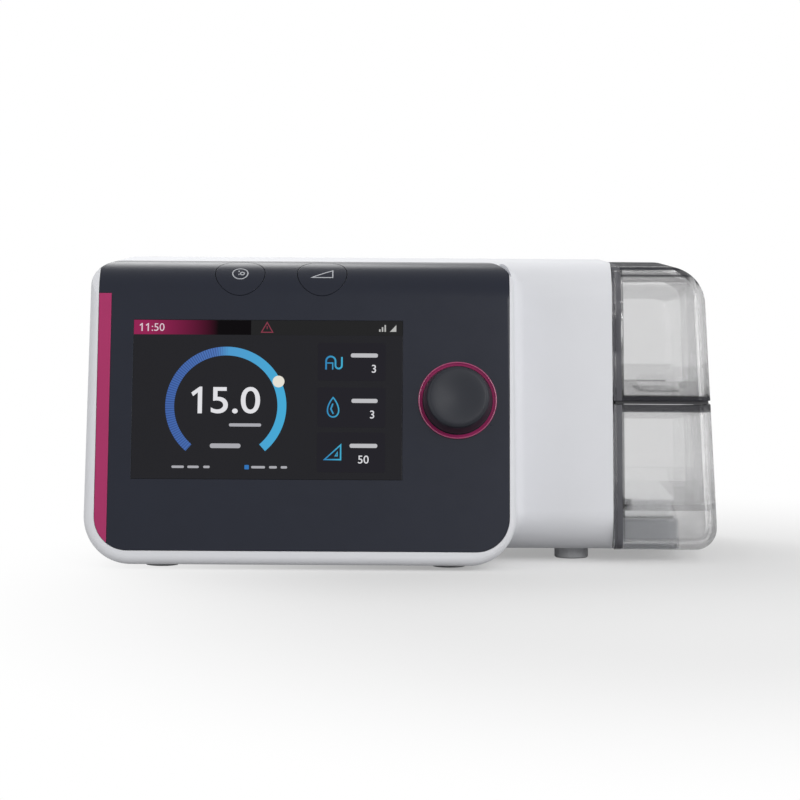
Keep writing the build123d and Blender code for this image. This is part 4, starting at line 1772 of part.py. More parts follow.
# ---------------------------------------------------------------- write the pieces
PIECES = {
    "casing_shell": casing_shell.part,
    "base_plate": base_plate.part,
    "long_screws": long_screws,
    "short_screws": short_screws,
    "rubber_feet": rubber_feet.part,
    "front_panel": front_panel.part,
    "accent_stripe": accent_stripe,
    "display_window": display_window.part,
    "lcd_module": lcd_module.part,
    "lcd_bracket": lcd_bracket.part,
    "control_board": control_board.part,
    "encoder_body": encoder_body.part,
    "encoder_plunger": encoder_plunger.part,
    "encoder_shaft": encoder_shaft.part,
    "knob_ring": knob_ring.part,
    "knob_cap": knob_cap.part,
    "power_button": power_button,
    "ramp_button": ramp_button,
    "button_carrier": button_carrier.part,
    "button_board": button_board.part,
    "tact_switches": tact_switches.part,
    "main_board": main_board.part,
    "board_components": board_components.part,
    "dc_jack": dc_jack.part,
    "card_socket": card_socket.part,
    "memory_card": memory_card.part,
    "card_door": card_door,
    "filter_cover": filter_cover,
    "air_filter": air_filter.part,
    "inlet_box": inlet_box.part,
    "muffler_foam": muffler_foam.part,
    "inlet_duct": inlet_duct.part,
    "blower_housing_lower": blower_housing_lower.part,
    "blower_housing_upper": blower_housing_upper.part,
    "blower_mounts": blower_mounts.part,
    "motor_bearings": motor_bearings.part,
    "motor_stator": motor_stator.part,
    "motor_cap": motor_cap.part,
    "rotor_shaft": rotor_shaft.part,
    "rotor_magnet": rotor_magnet.part,
    "impeller": impeller.part,
    "air_duct": air_duct.part,
    "flow_sensor": flow_sensor.part,
    "outlet_duct": outlet_duct.part,
    "port_seals": port_seals.part,
    "elbow_seat": elbow_seat.part,
    "elbow_oring": elbow_oring.part,
    "outlet_elbow": outlet_elbow.part,
    "heater_platform": heater_platform.part,
    "heater_plate": heater_plate.part,
    "heater_springs": heater_springs.part,
    "display_flex": display_flex,
    "wire_leads": wire_leads.part,
    "tank_tub": tank_tub.part,
    "tank_lid": tank_lid.part,
    "tank_seal": tank_seal.part,
    "tank_baffle": tank_baffle.part,
    "tank_heat_plate": tank_heat_plate.part,
    "tank_hinge_pin": tank_hinge_pin.part,
}
for piece_name, piece in PIECES.items():
    write(piece, piece_name)
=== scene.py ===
"""Looks of a bedside CPAP machine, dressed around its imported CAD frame.

Every length is in metres in the frame's own axes: X to the right, Y to the rear, Z up. Sizes are
written in millimetres and multiplied by MM.
"""

import json
import logging
from dataclasses import dataclass, field, replace
from enum import Enum
from math import cos, degrees, pi, radians, sin, sqrt, tan
from typing import Any, Callable, Sequence

import bmesh
import bpy
import numpy as np
from mathutils import Matrix, Vector


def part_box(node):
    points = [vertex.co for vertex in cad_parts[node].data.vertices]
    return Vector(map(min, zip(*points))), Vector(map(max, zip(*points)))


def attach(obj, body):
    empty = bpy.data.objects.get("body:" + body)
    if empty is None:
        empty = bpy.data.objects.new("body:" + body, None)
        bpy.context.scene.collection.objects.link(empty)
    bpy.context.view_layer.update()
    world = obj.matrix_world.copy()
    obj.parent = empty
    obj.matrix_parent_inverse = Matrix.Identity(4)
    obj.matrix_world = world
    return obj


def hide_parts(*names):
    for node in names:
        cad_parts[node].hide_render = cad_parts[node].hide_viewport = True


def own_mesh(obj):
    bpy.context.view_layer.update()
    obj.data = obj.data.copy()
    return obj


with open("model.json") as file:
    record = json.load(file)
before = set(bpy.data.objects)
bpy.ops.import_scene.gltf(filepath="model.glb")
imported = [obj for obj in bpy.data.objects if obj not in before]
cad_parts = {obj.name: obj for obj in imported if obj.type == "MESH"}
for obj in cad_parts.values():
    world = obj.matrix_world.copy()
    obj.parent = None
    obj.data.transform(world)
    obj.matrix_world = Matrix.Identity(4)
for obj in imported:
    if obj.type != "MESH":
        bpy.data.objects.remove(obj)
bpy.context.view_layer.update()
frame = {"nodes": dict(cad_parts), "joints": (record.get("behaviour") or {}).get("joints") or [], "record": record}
JOINTS = {joint["name"]: joint for joint in frame["joints"]}
LOG = logging.getLogger("cpap")
MM = 0.001
MERGE_REACH = 1e-7
Place = Callable[[np.ndarray], np.ndarray]
Colour = tuple[float, float, float, float]
Spot = tuple[float, float]


def tone(red: float, green: float, blue: float) -> Colour:
    """Scene-linear colour of a display's red, green and blue from 0 to 255."""
    parts = (c / 255 for c in (red, green, blue))
    return (*(c / 12.92 if c <= 0.04045 else ((c + 0.055) / 1.055) ** 2.4 for c in parts), 1.0)


def grey(level: float) -> Colour:
    """Scene-linear grey."""
    return (level, level, level, 1.0)


def shade(colour: Colour, factor: float) -> Colour:
    """Colour times a factor, up to full brightness."""
    return tuple(min(1.0, part * factor) for part in colour[:3]) + (1.0,)


# --- shader bench
def operator(operation: str, flip: bool = False) -> Callable[["Wire", "Wire | float"], "Wire"]:
    """Operator of a wire that adds a Math node, with the other value first where it is flipped."""
    return lambda wire, other: wire.math(operation, other, flip=flip)


class Wire:
    """A shader socket on which Python arithmetic adds Math nodes. A comparison gives 1 or 0."""

    def __init__(self, bench: "Bench", socket: bpy.types.NodeSocket) -> None:
        """Keep the socket and the bench that it belongs to."""
        self.bench = bench
        self.socket = socket

    def math(self, operation: str, *others: "Wire | float", flip: bool = False) -> "Wire":
        """Math node on this value and others, in reverse order where it is flipped."""
        values = dict(enumerate([self, *others][::-1 if flip else 1]))
        return self.bench.node("ShaderNodeMath", {"operation": operation}, values)

    __add__ = __radd__ = operator("ADD")
    __mul__ = __rmul__ = operator("MULTIPLY")
    __sub__ = operator("SUBTRACT")
    __rsub__ = operator("SUBTRACT", flip=True)
    __truediv__ = operator("DIVIDE")
    __gt__ = operator("GREATER_THAN")
    __lt__ = operator("LESS_THAN")
    larger = operator("MAXIMUM")

    def __abs__(self) -> "Wire":
        """The value without its sign."""
        return self.math("ABSOLUTE")

    def clamp(self) -> "Wire":
        """The value, held between 0 and 1."""
        return self.math("MINIMUM", 1.0).larger(0.0)


class Bench:
    """Node tree of one material, or of the world."""

    def __init__(self, owner: bpy.types.Material | bpy.types.World) -> None:
        """Start an empty tree on its owner."""
        self.owner = owner
        owner.use_nodes = True
        self.tree = owner.node_tree
        self.tree.nodes.clear()

    @classmethod
    def of(cls, name: str) -> "Bench":
        """Bench of a new material."""
        return cls(bpy.data.materials.new(name))

    def node(
        self, kind: str, settings: dict[str, Any] | None = None,
        inputs: dict[str | int, Any] | None = None, out: str | int = 0,
    ) -> Wire:
        """Add a node.

        Args:
            kind: The node's type.
            settings: Properties, set first; "stops" fills a colour ramp.
            inputs: Values or wires by socket name or number.
            out: The output to hand back.

        Returns:
            The wire of that output.
        """
        made = self.tree.nodes.new(kind)
        for key, value in (settings or {}).items():
            if key == "stops":
                ramp = made.color_ramp
                while len(ramp.elements) < len(value):
                    ramp.elements.new(1.0)
                for element, (position, colour) in zip(ramp.elements, value):
                    element.position = position
                    element.color = colour
            else:
                setattr(made, key, value)
        for key, value in (inputs or {}).items():
            if isinstance(value, Wire):
                self.tree.links.new(value.socket, made.inputs[key])
            else:
                made.inputs[key].default_value = value
        return Wire(self, made.outputs[out] if len(made.outputs) else None)

    def place(self) -> Wire:
        """Object coordinates, in metres."""
        return self.node("ShaderNodeTexCoord", out="Object")

    def axis(self, name: str, vector: Wire | None = None) -> Wire:
        """X, Y or Z of a vector, or else of the object coordinates."""
        return self.node("ShaderNodeSeparateXYZ", inputs={0: vector or self.place()}, out=name)

    def noise(self, size: float, detail: float = 2.0, rough: float = 0.5) -> Wire:
        """Noise from 0 to 1, by the size of its features and the number and strength of finer layers."""
        values = {"Vector": self.place(), "Scale": 1 / size, "Detail": detail, "Roughness": rough}
        return self.node("ShaderNodeTexNoise", inputs=values)

    def cells(self, size: float, settings: dict[str, Any]) -> Wire:
        """Distance to the nearest middle of cells of a size."""
        values = {"Vector": self.place(), "Scale": 1 / size}
        return self.node("ShaderNodeTexVoronoi", settings, values, out="Distance")

    def ramp(self, factor: Wire, stops: Sequence[tuple[float, Colour]]) -> Wire:
        """Colour of a value along stops of position and colour."""
        return self.node("ShaderNodeValToRGB", {"stops": stops}, {"Fac": factor})

    def share(self, factor: Wire, stops: Sequence[Spot]) -> Wire:
        """Share of a value along stops of position and share."""
        return self.ramp(factor, [(position, (level,) * 4) for position, level in stops])

    def mix(self, share: Wire, first: Any, second: Any) -> Wire:
        """Colour between two, by the share of the second."""
        # The Mix node repeats its sockets for each data type: the colour's are 6, 7 and output 2.
        return self.node("ShaderNodeMix", {"data_type": "RGBA"}, {0: share, 6: first, 7: second}, out=2)

    def bump(self, height: Wire, strength: float, distance: float, soft: float = 0.0) -> Wire:
        """Normal of a height.

        Args:
            height: Height from 0 to 1.
            strength: Share of the effect.
            distance: Depth of the relief in metres.
            soft: Radius in metres by which sharp edges are rounded in shading.

        Returns:
            The normal's wire.
        """
        values: dict[str | int, Any] = {"Strength": strength, "Distance": distance, "Height": height}
        if soft:
            values["Normal"] = self.node("ShaderNodeBevel", {"samples": 4}, {"Radius": soft})
        return self.node("ShaderNodeBump", inputs=values)

    def principled(self, inputs: dict[str | int, Any]) -> Wire:
        """Principled shader with values or wires by socket name."""
        return self.node("ShaderNodeBsdfPrincipled", inputs=inputs)

    def blend(self, share: Wire | float, first: Wire, second: Wire) -> Wire:
        """Shader between two, by the share of the second."""
        return self.node("ShaderNodeMixShader", inputs={0: share, 1: first, 2: second})

    def glow(self, colour: Any, rough: Wire | float, specular: float) -> Wire:
        """Black surface that glows in a colour."""
        return self.principled({
            "Base Color": grey(0.001), "Emission Color": colour, "Emission Strength": 0.92,
            "Roughness": rough, "Specular IOR Level": specular,
        })

    def finish(self, shader: Wire, volume: Wire | None = None) -> bpy.types.Material:
        """Put a shader, and a volume if there is one, on the output."""
        inside = {"Volume": volume} if volume else {}
        self.node("ShaderNodeOutputMaterial", inputs={"Surface": shader, **inside})
        return self.owner


# --- finishes
@dataclass(frozen=True)
class Finish:
    """Finish of a piece. Each kind lays out its own shader."""

    name: str

    def make(self) -> bpy.types.Material:
        """Build the material."""
        bench = Bench.of(self.name)
        return bench.finish(self.shader(bench), self.volume(bench))

    def shader(self, bench: Bench) -> Wire:
        """Shader of the surface."""
        raise NotImplementedError

    def volume(self, bench: Bench) -> Wire | None:
        """Shader of the inside, where light gets in."""
        return None


@dataclass(frozen=True)
class Moulded(Finish):
    """Moulded plastic or rubber with a fine spark-eroded grain and slight shade changes."""

    colour: Colour
    rough: float = 0.45
    relief: float = 0.15
    mottle: float = 0.06
    specular: float = 0.5
    coat: float = 0.0
    metal: float = 0.0
    soft_edge: float = 0.25 * MM
    grain: float = 0.35 * MM
    cloud: float = 22 * MM
    touch: float = 9 * MM
    touch_rough: float = 0.12

    def shader(self, bench: Bench) -> Wire:
        """Colour by cloud and grain, roughness by the marks of hands."""
        cloud = bench.noise(self.cloud, 3)
        grain = bench.noise(self.grain, 2)
        handled = bench.noise(self.touch, 4, 0.6)
        stops = [(0.3, shade(self.colour, 1 - self.mottle)), (0.7, shade(self.colour, 1 + self.mottle))]
        return bench.principled({
            "Base Color": bench.ramp(cloud * 0.8 + grain * 0.2, stops),
            "Roughness": self.rough + (handled - 0.5) * self.touch_rough,
            "Metallic": self.metal,
            "Specular IOR Level": self.specular,
            "Coat Weight": self.coat,
            "Normal": bench.bump(grain, self.relief, 0.05 * MM, self.soft_edge),
        })


@dataclass(frozen=True)
class Brushed(Finish):
    """Metal with fine lines along one axis."""

    colour: Colour
    rough: float = 0.32
    along: str = "X"
    line: float = 0.15 * MM
    length: float = 25 * MM
    line_shade: float = 0.86

    def shader(self, bench: Bench) -> Wire:
        """Colour and relief by noise that is drawn out along the axis."""
        scale = [1 / (self.length if axis == self.along else self.line) for axis in "XYZ"]
        stretched = bench.node("ShaderNodeMapping", inputs={"Vector": bench.place(), "Scale": scale})
        lines = bench.node("ShaderNodeTexNoise", inputs={"Vector": stretched, "Scale": 1.0})
        stops = [(0.3, shade(self.colour, self.line_shade)), (0.7, self.colour)]
        return bench.principled({
            "Base Color": bench.ramp(lines, stops),
            "Metallic": 1.0,
            "Roughness": self.rough + (bench.noise(6 * MM, 3) - 0.5) * 0.15,
            "Normal": bench.bump(lines, 0.2, 0.02 * MM, 0.2 * MM),
        })


@dataclass(frozen=True)
class ClearPolymer(Finish):
    """Smoked clear tank plastic, with painted shade: a dark matte share stands in for the dark that
    refraction in its thickness gives, on walls seen edge-on, at the ends of the docking wall, along the
    lips of the seam, and on the roof in painted dark and light lines.

    The stops give the share of painted shade: of the roof and of its level top by how far it faces away,
    and of the docking wall by the place across it.
    """

    tint: Colour
    density: float
    skin: float = 0.83
    skin_loss: float = 0.96
    straight: float = 0.35
    rough: float = 0.015
    edge_power: float = 5.0
    painted_edge_share: float = 0.25
    roof: Spot = (112 * MM, 115 * MM)
    level_from: float = 0.97
    seam: float = 64.7 * MM
    seam_half: float = 3.2 * MM
    painted_seam_share: float = 0.72
    dock: Spot = (86.4 * MM, 89.9 * MM)
    painted_roof_stops: tuple[Spot, ...] = (
        (0.0, 0.0), (0.30, 0.0), (0.345, 0.75), (0.37, 0.75),
        (0.40, 0.22), (0.52, 0.3), (0.59, 0.98), (1.0, 0.75),
    )
    painted_level_stops: tuple[Spot, ...] = ((0.78, 0.0), (0.9, 0.85))
    painted_dock_stops: tuple[Spot, ...] = (
        (0.0, 0.85), (0.15, 0.85), (0.2, 0.5), (0.32, 0.5), (0.4, 0.85), (0.95, 0.85), (1.0, 0.0),
    )

    def clear(self, bench: Bench) -> Wire:
        """Shader of the clear plastic, with a faint ripple. A share of the light goes straight through,
        so that little of it is trapped in the walls."""
        ripple = bench.noise(14 * MM, 2)
        level = (self.skin, self.skin, self.skin * 1.005, 1.0)
        bent = bench.principled({
            "Base Color": bench.ramp(ripple, [(0.2, shade(level, 0.99)), (0.8, level)]),
            "Transmission Weight": 1.0,
            "IOR": 1.49,
            "Roughness": self.rough + bench.noise(3 * MM, 3) * 0.02,
            "Normal": bench.bump(ripple, 0.08, 0.3 * MM),
        })
        passed = grey(sqrt(self.skin) * self.skin_loss)
        return bench.blend(self.straight, bent, bench.node("ShaderNodeBsdfTransparent", inputs={0: passed}))

    def painted_shade_share(self, bench: Bench) -> Wire:
        """Share of painted shade: the largest of the shares of steep walls, roof, lips and docking wall."""
        facing = bench.node("ShaderNodeLayerWeight", inputs={"Blend": 0.5}, out="Facing")
        normal = bench.node("ShaderNodeTexCoord", out="Normal")
        height = bench.axis("Z")
        level = bench.axis("Z", normal) > self.level_from
        lines = level * bench.share(facing, self.painted_level_stops)
        lines += (1 - level) * bench.share(facing, self.painted_roof_stops)
        roof = ((height - self.roof[0]) / (self.roof[1] - self.roof[0])).clamp() * lines
        lips = (abs(height - self.seam) < self.seam_half) * self.painted_seam_share
        across = (bench.axis("X") - self.dock[0]) / (self.dock[1] - self.dock[0])
        dock = (abs(bench.axis("Y", normal)) > 0.5) * bench.share(across, self.painted_dock_stops)
        steep = facing.math("POWER", self.edge_power) * self.painted_edge_share
        return steep.larger(roof).larger(lips).larger(dock)

    def shader(self, bench: Bench) -> Wire:
        """Clear plastic, mixed with a dark matte surface by the share of painted shade, which is darkest in the
        docking wall.
        """
        # Painted shade: a matte dark grey, darker in the docking wall, stands in for the dark that refraction in
        # the thick plastic gives.
        dark = bench.principled({
            "Base Color": bench.mix(bench.axis("X") < self.dock[1], tone(52, 52, 57), tone(92, 92, 97)),
            "Roughness": 0.5, "Specular IOR Level": 0.0,
        })
        return bench.blend(self.painted_shade_share(bench), self.clear(bench), dark)

    def volume(self, bench: Bench) -> Wire:
        """Smoky tint of the inside."""
        values = {"Color": self.tint, "Density": self.density}
        return bench.node("ShaderNodeVolumeAbsorption", inputs=values)


@dataclass(frozen=True)
class CircuitBoard(Finish):
    """Solder-masked board with copper tracks and vias."""

    name: str = "solder_mask"
    pitch: float = 1.8 * MM
    cell: float = 5 * MM

    def shader(self, bench: Bench) -> Wire:
        """Tracks along Y away from the middles of square cells, and a via in each middle."""
        cells = bench.cells(self.cell, {"distance": "MANHATTAN"})
        tracks = ((bench.axis("X") / self.pitch).math("FRACT") < 0.3) * (cells > 0.35)
        mask = bench.ramp(tracks, [(0.4, tone(22, 82, 52)), (0.6, tone(34, 108, 66))])
        return bench.principled({
            "Base Color": bench.mix(cells < 0.08, mask, tone(196, 164, 92)),
            "Roughness": 0.35 + bench.noise(4 * MM) * 0.1,
            "Normal": bench.bump(tracks, 0.4, 0.05 * MM),
        })


@dataclass(frozen=True)
class Fibres(Finish):
    """Filter media or open-cell foam: pores with soft edges."""

    colour: Colour
    pore: float

    def shader(self, bench: Bench) -> Wire:
        """Relief by the distance from the middles of the pores, and colour by the same, with painted shade: darker
        where the relief sinks.
        """
        pores = bench.cells(self.pore, {"feature": "SMOOTH_F1"})
        fuzz = bench.noise(self.pore * 0.5, 4, 0.7)
        # Painted shade: the colour darkens as the relief sinks away from the middles of the pores.
        stops = [(0.3, shade(self.colour, 0.45)), (0.75, self.colour)]
        return bench.principled({
            "Base Color": bench.ramp(1 - pores * 0.8 + fuzz * 0.2, stops),
            "Roughness": 0.9,
            "Sheen Weight": 0.3,
            "Normal": bench.bump(fuzz - pores, 0.8, self.pore * 0.6),
        })


@dataclass(frozen=True)
class Graphic(Finish):
    """Lit graphic of the display, in one colour or fading along X."""

    colour: Colour
    end: Colour | None = None
    start_x: float = 0.0
    end_x: float = 1.0

    def shader(self, bench: Bench) -> Wire:
        """Glow with the faint grain of the pixels."""
        colour: Any = self.colour
        pixel = bench.noise(0.3 * MM, 0) * 0.1
        if self.end:
            along = (bench.axis("X") - self.start_x) / (self.end_x - self.start_x)
            colour = bench.ramp(along + pixel * 0.2, [(0.0, self.colour), (1.0, self.end)])
        return bench.glow(colour, 0.25 + pixel, 0.02)


@dataclass(frozen=True)
class GaugeGraphic(Finish):
    """Ring of the pressure gauge: ticked blue on its left half, plain cyan on its right."""

    centre_x: float
    centre_z: float
    squash: float
    ticks: int = 150
    tick_share: float = 0.36
    reach: float = 50 * MM

    def shader(self, bench: Bench) -> Wire:
        """Glow that changes along X, cut by ticks at even turns about the middle."""
        x = bench.axis("X") - self.centre_x
        turn = (bench.axis("Z") - self.centre_z).math("ARCTAN2", x * self.squash)
        tick = (turn * (self.ticks / (2 * pi))).math("FRACT") < self.tick_share
        side = (x * (-1 / (6 * MM)) + 0.2).clamp()
        hue = bench.ramp(x / self.reach + 0.5, [
            (0.0, tone(68, 104, 176)), (0.42, tone(80, 120, 190)), (0.52, tone(80, 158, 212)),
            (1.0, tone(70, 176, 220)),
        ])
        return bench.glow(bench.mix(tick * side * 0.5, hue, tone(26, 44, 86)), 0.25, 0.05)


class Slot(Enum):
    """Material slots of the record."""

    WHITE = "white_plastic"
    GREY = "grey_plastic"
    DARK = "dark_plastic"
    MAGENTA = "magenta_plastic"
    COVER = "display_cover"
    MODULE = "display_module"
    CLEAR = "clear_plastic"
    RUBBER = "black_rubber"
    STEEL = "steel"
    LAMINATION = "lamination"
    MAGNET = "magnet"
    HEAT = "heat_metal"
    BOARD = "circuit_board"
    BLACK = "black_plastic"
    CARD = "card_plastic"
    DUCT = "duct_plastic"
    FILTER = "filter_media"
    FOAM = "foam"
    RIBBON = "ribbon"


FINISHES: dict[Slot, Finish] = {
    Slot.WHITE: Moulded("white_satin", tone(221, 222, 226), 0.6, mottle=0.012, relief=0.06),
    Slot.GREY: Moulded("grey_satin", tone(150, 152, 156), 0.48),
    Slot.DARK: Moulded("dark_soft_touch", tone(25, 29, 42), 0.3, mottle=0.05, relief=0.05, specular=0.23),
    Slot.MAGENTA: Moulded("magenta_satin", tone(168, 42, 98), 0.38, mottle=0.03, relief=0.06, specular=0.3),
    Slot.COVER: Moulded("display_glass", tone(17, 17, 24), 0.16, mottle=0.02, relief=0.0, specular=0.2),
    Slot.MODULE: Moulded("display_black", tone(20, 20, 23), 0.2),
    Slot.CLEAR: ClearPolymer("smoked_clear", tone(168, 167, 174), 4.0),
    Slot.RUBBER: Moulded("black_rubber", tone(52, 52, 55), 0.7, relief=0.3),
    Slot.STEEL: Brushed("steel", tone(190, 190, 194)),
    Slot.LAMINATION: Brushed("lamination", tone(140, 128, 118), 0.45, "Z"),
    Slot.MAGNET: Moulded("magnet", tone(96, 96, 100), 0.35, metal=1.0),
    Slot.HEAT: Brushed("polished_steel", tone(246, 247, 248), 0.2, "Y"),
    Slot.BOARD: CircuitBoard(),
    Slot.BLACK: Moulded("black_plastic", tone(34, 34, 37), 0.45),
    Slot.CARD: Moulded("card_blue", tone(52, 76, 132), 0.5),
    Slot.DUCT: Moulded("duct_grey", tone(120, 124, 130), 0.6),
    Slot.FILTER: Fibres("filter_media", tone(232, 234, 236), 0.5 * MM),
    Slot.FOAM: Fibres("muffler_foam", tone(84, 84, 88), 1.1 * MM),
    Slot.RIBBON: Moulded("ribbon_amber", tone(196, 150, 72), 0.35, coat=0.4),
}
NODE_FINISHES: dict[str, Finish] = {
    "rubber_feet": Moulded("pale_rubber", tone(196, 197, 200), 0.75, relief=0.3, specular=0.3),
    # Painted light: a paler copy of grey_satin, standing in for lamp light that does not reach the platform
    # through the clear tank.
    "heater_platform": Moulded("grey_satin_painted_light", tone(172, 174, 178), 0.48),
}


class Palette:
    """Makes each finish once and dresses objects in it."""

    def __init__(self) -> None:
        """Start with no material made."""
        self.made: dict[Slot, bpy.types.Material] = {}

    def material(self, slot: Slot) -> bpy.types.Material:
        """Material of a slot."""
        if slot not in self.made:
            self.made[slot] = FINISHES[slot].make()
        return self.made[slot]

    def dress_frame(self) -> None:
        """Give every CAD node its own finish or that of its slot."""
        for part in frame["record"]["subparts"]:
            target = frame["nodes"][part["node"]]
            own = NODE_FINISHES.get(part["node"])
            material = own.make() if own else self.material(Slot(part["material_slot"]))
            if not target.material_slots:
                target.data.materials.append(material)
            for held in target.material_slots:
                held.material = material
            LOG.info("dressed %s in %s", part["node"], material.name)

    def settle(
        self, piece: bpy.types.Object, body: str, slot: Slot, own: Finish | None = None
    ) -> bpy.types.Object:
        """Dress a new piece and let it ride on its body.

        Args:
            piece: The object.
            body: The CAD body that carries it.
            slot: The slot that its finish belongs to.
            own: A finish of its own, in place of the slot's.

        Returns:
            The object.
        """
        piece.data.materials.clear()
        piece.data.materials.append(own.make() if own else self.material(slot))
        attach(piece, body)
        LOG.info("built %s with %d faces on %s", piece.name, len(piece.data.polygons), body)
        return piece


# --- mesh forms
def add_object(name: str, data: bpy.types.ID) -> bpy.types.Object:
    """New object in the scene, with a mesh, curve, light or camera as its data."""
    made = bpy.data.objects.new(name, data)
    bpy.context.scene.collection.objects.link(made)
    return made


def clean(mesh: bpy.types.Mesh) -> None:
    """Merge the doubled points of a mesh and turn its faces outwards."""
    work = bmesh.new()
    work.from_mesh(mesh)
    bmesh.ops.remove_doubles(work, verts=work.verts, dist=MERGE_REACH)
    bmesh.ops.recalc_face_normals(work, faces=work.faces)
    work.to_mesh(mesh)
    work.free()


def unit(vectors: np.ndarray) -> np.ndarray:
    """Rows divided by their length; a row of nothing stays."""
    return vectors / np.maximum(np.linalg.norm(vectors, axis=1, keepdims=True), 1e-9)


@dataclass
class Form:
    """Points and faces gathered for one piece."""

    points: list[np.ndarray] = field(default_factory=list)
    faces: list[tuple[int, ...]] = field(default_factory=list)
    count: int = 0

    def take(self, points: np.ndarray, faces: Sequence[Sequence[int]]) -> None:
        """Add points, and faces that number them from 0."""
        self.faces += [tuple(int(i) + self.count for i in face) for face in faces]
        self.points.append(points.reshape(-1, 3))
        self.count += len(self.points[-1])

    def tube(self, grid: np.ndarray, round_path: bool = False) -> "Form":
        """Skin over sections: rows of the grid are closed sections, one after another.

        Args:
            grid: Points by section, place round the section, and axis.
            round_path: The last section joins the first; otherwise both ends are closed.

        Returns:
            The form.
        """
        rows, columns = grid.shape[:2]
        index = np.arange(rows * columns).reshape(rows, columns)
        index = np.hstack([index, index[:, :1]])
        if round_path:
            index = np.vstack([index, index[:1]])
        low, high = index[:-1], index[1:]
        quads = np.stack([low[:, :-1], high[:, :-1], high[:, 1:], low[:, 1:]], -1).reshape(-1, 4)
        ends = [] if round_path else [index[0, :-1][::-1], index[-1, :-1]]
        self.take(grid, [*quads, *ends])
        return self

    def slab(self, outline: np.ndarray, low: float, high: float, place: Place) -> None:
        """Flat piece with an outline, from a low to a high level."""
        levels = [np.column_stack([outline, np.full(len(outline), level)]) for level in (low, high)]
        self.tube(np.stack([place(level) for level in levels]))

    def stroke(
        self, path: np.ndarray, width: float, low: float, high: float, place: Place, closed: bool = False
    ) -> None:
        """Line of a width along a path: at each point the section spans half the width to each side
        along the path's own normal, more at a corner by 1 over the cosine of half its turn, from the
        low to the high level.

        Args:
            path: Points of the line, two coordinates each.
            width: Width of the line.
            low: Lower level.
            high: Upper level.
            place: Puts flat points on the object.
            closed: The line returns to its start.
        """
        if closed:
            before, after = np.roll(path, 1, 0), np.roll(path, -1, 0)
        else:
            before = np.vstack([path[:1], path[:-1]])
            after = np.vstack([path[1:], path[-1:]])
        first, second = unit(path - before), unit(after - path)
        along = unit(first + second)
        normal = np.column_stack([-along[:, 1], along[:, 0]])
        ahead = np.where(np.any(second, 1)[:, None], second, first)
        least_cosine = 0.45
        half = width / 2 / np.maximum(np.abs(np.sum(along * ahead, 1)), least_cosine)[:, None]
        sides = [(path + normal * half, low), (path - normal * half, low)]
        sides += [(path - normal * half, high), (path + normal * half, high)]
        section = [place(np.column_stack([side, np.full(len(path), level)])) for side, level in sides]
        self.tube(np.stack(section, 1), closed)

    def build(self, name: str, smooth: bool = False) -> bpy.types.Object:
        """Make the object.

        Args:
            name: Its name.
            smooth: Shade it smooth across edges that turn by less than 35 degrees.

        Returns:
            The object.
        """
        mesh = bpy.data.meshes.new(name)
        mesh.from_pydata(np.vstack(self.points).tolist(), [], self.faces)
        clean(mesh)
        if smooth:
            mesh.shade_smooth()
            mesh.set_sharp_from_angle(angle=radians(35))
        return add_object(name, mesh)


def arc(centre: Spot, radius: float, start: float, end: float, count: int) -> np.ndarray:
    """Points on a circle: centre plus radius times (cos t, sin t), t from start to end in degrees."""
    t = np.radians(np.linspace(start, end, count))
    return np.column_stack([centre[0] + radius * np.cos(t), centre[1] + radius * np.sin(t)])


def circle(centre: Spot, radius: float, count: int) -> np.ndarray:
    """Points round a whole circle, none of them twice."""
    return arc(centre, radius, 0, 360, count + 1)[:-1]


def rectangle(left: float, low: float, right: float, high: float) -> list[Spot]:
    """Corners of a rectangle."""
    return [(left, low), (right, low), (right, high), (left, high)]


def box_outline(centre: Spot, width: float, height: float, corner: float, steps: int = 5) -> np.ndarray:
    """Rectangle with round corners: four quarter arcs, one after another.

    Args:
        centre: Its middle.
        width: Its width.
        height: Its height.
        corner: Radius of a corner.
        steps: Points on a corner.

    Returns:
        Points of the outline.
    """
    u, v = width / 2 - corner, height / 2 - corner
    corners = [((u, v), 0), ((-u, v), 90), ((-u, -v), 180), ((u, -v), 270)]
    return np.vstack([
        arc((centre[0] + a, centre[1] + b), corner, turn, turn + 90, steps) for (a, b), turn in corners
    ])


def turned(profile: np.ndarray, place: Place, steps: int = 128) -> np.ndarray:
    """Surface of revolution: a profile point (r, h) goes to (r cos t, r sin t, h) at each turn t.

    Args:
        profile: Closed loop of radius and height.
        place: Puts the turned points on the object.
        steps: Number of turns.

    Returns:
        Grid of points by turn, profile point and axis.
    """
    t = np.linspace(0, 2 * pi, steps, endpoint=False)[:, None]
    radius, height = profile[None, :, 0], profile[None, :, 1]
    points = np.stack([radius * np.cos(t), radius * np.sin(t), height + 0 * t], -1)
    return place(points.reshape(-1, 3)).reshape(points.shape)


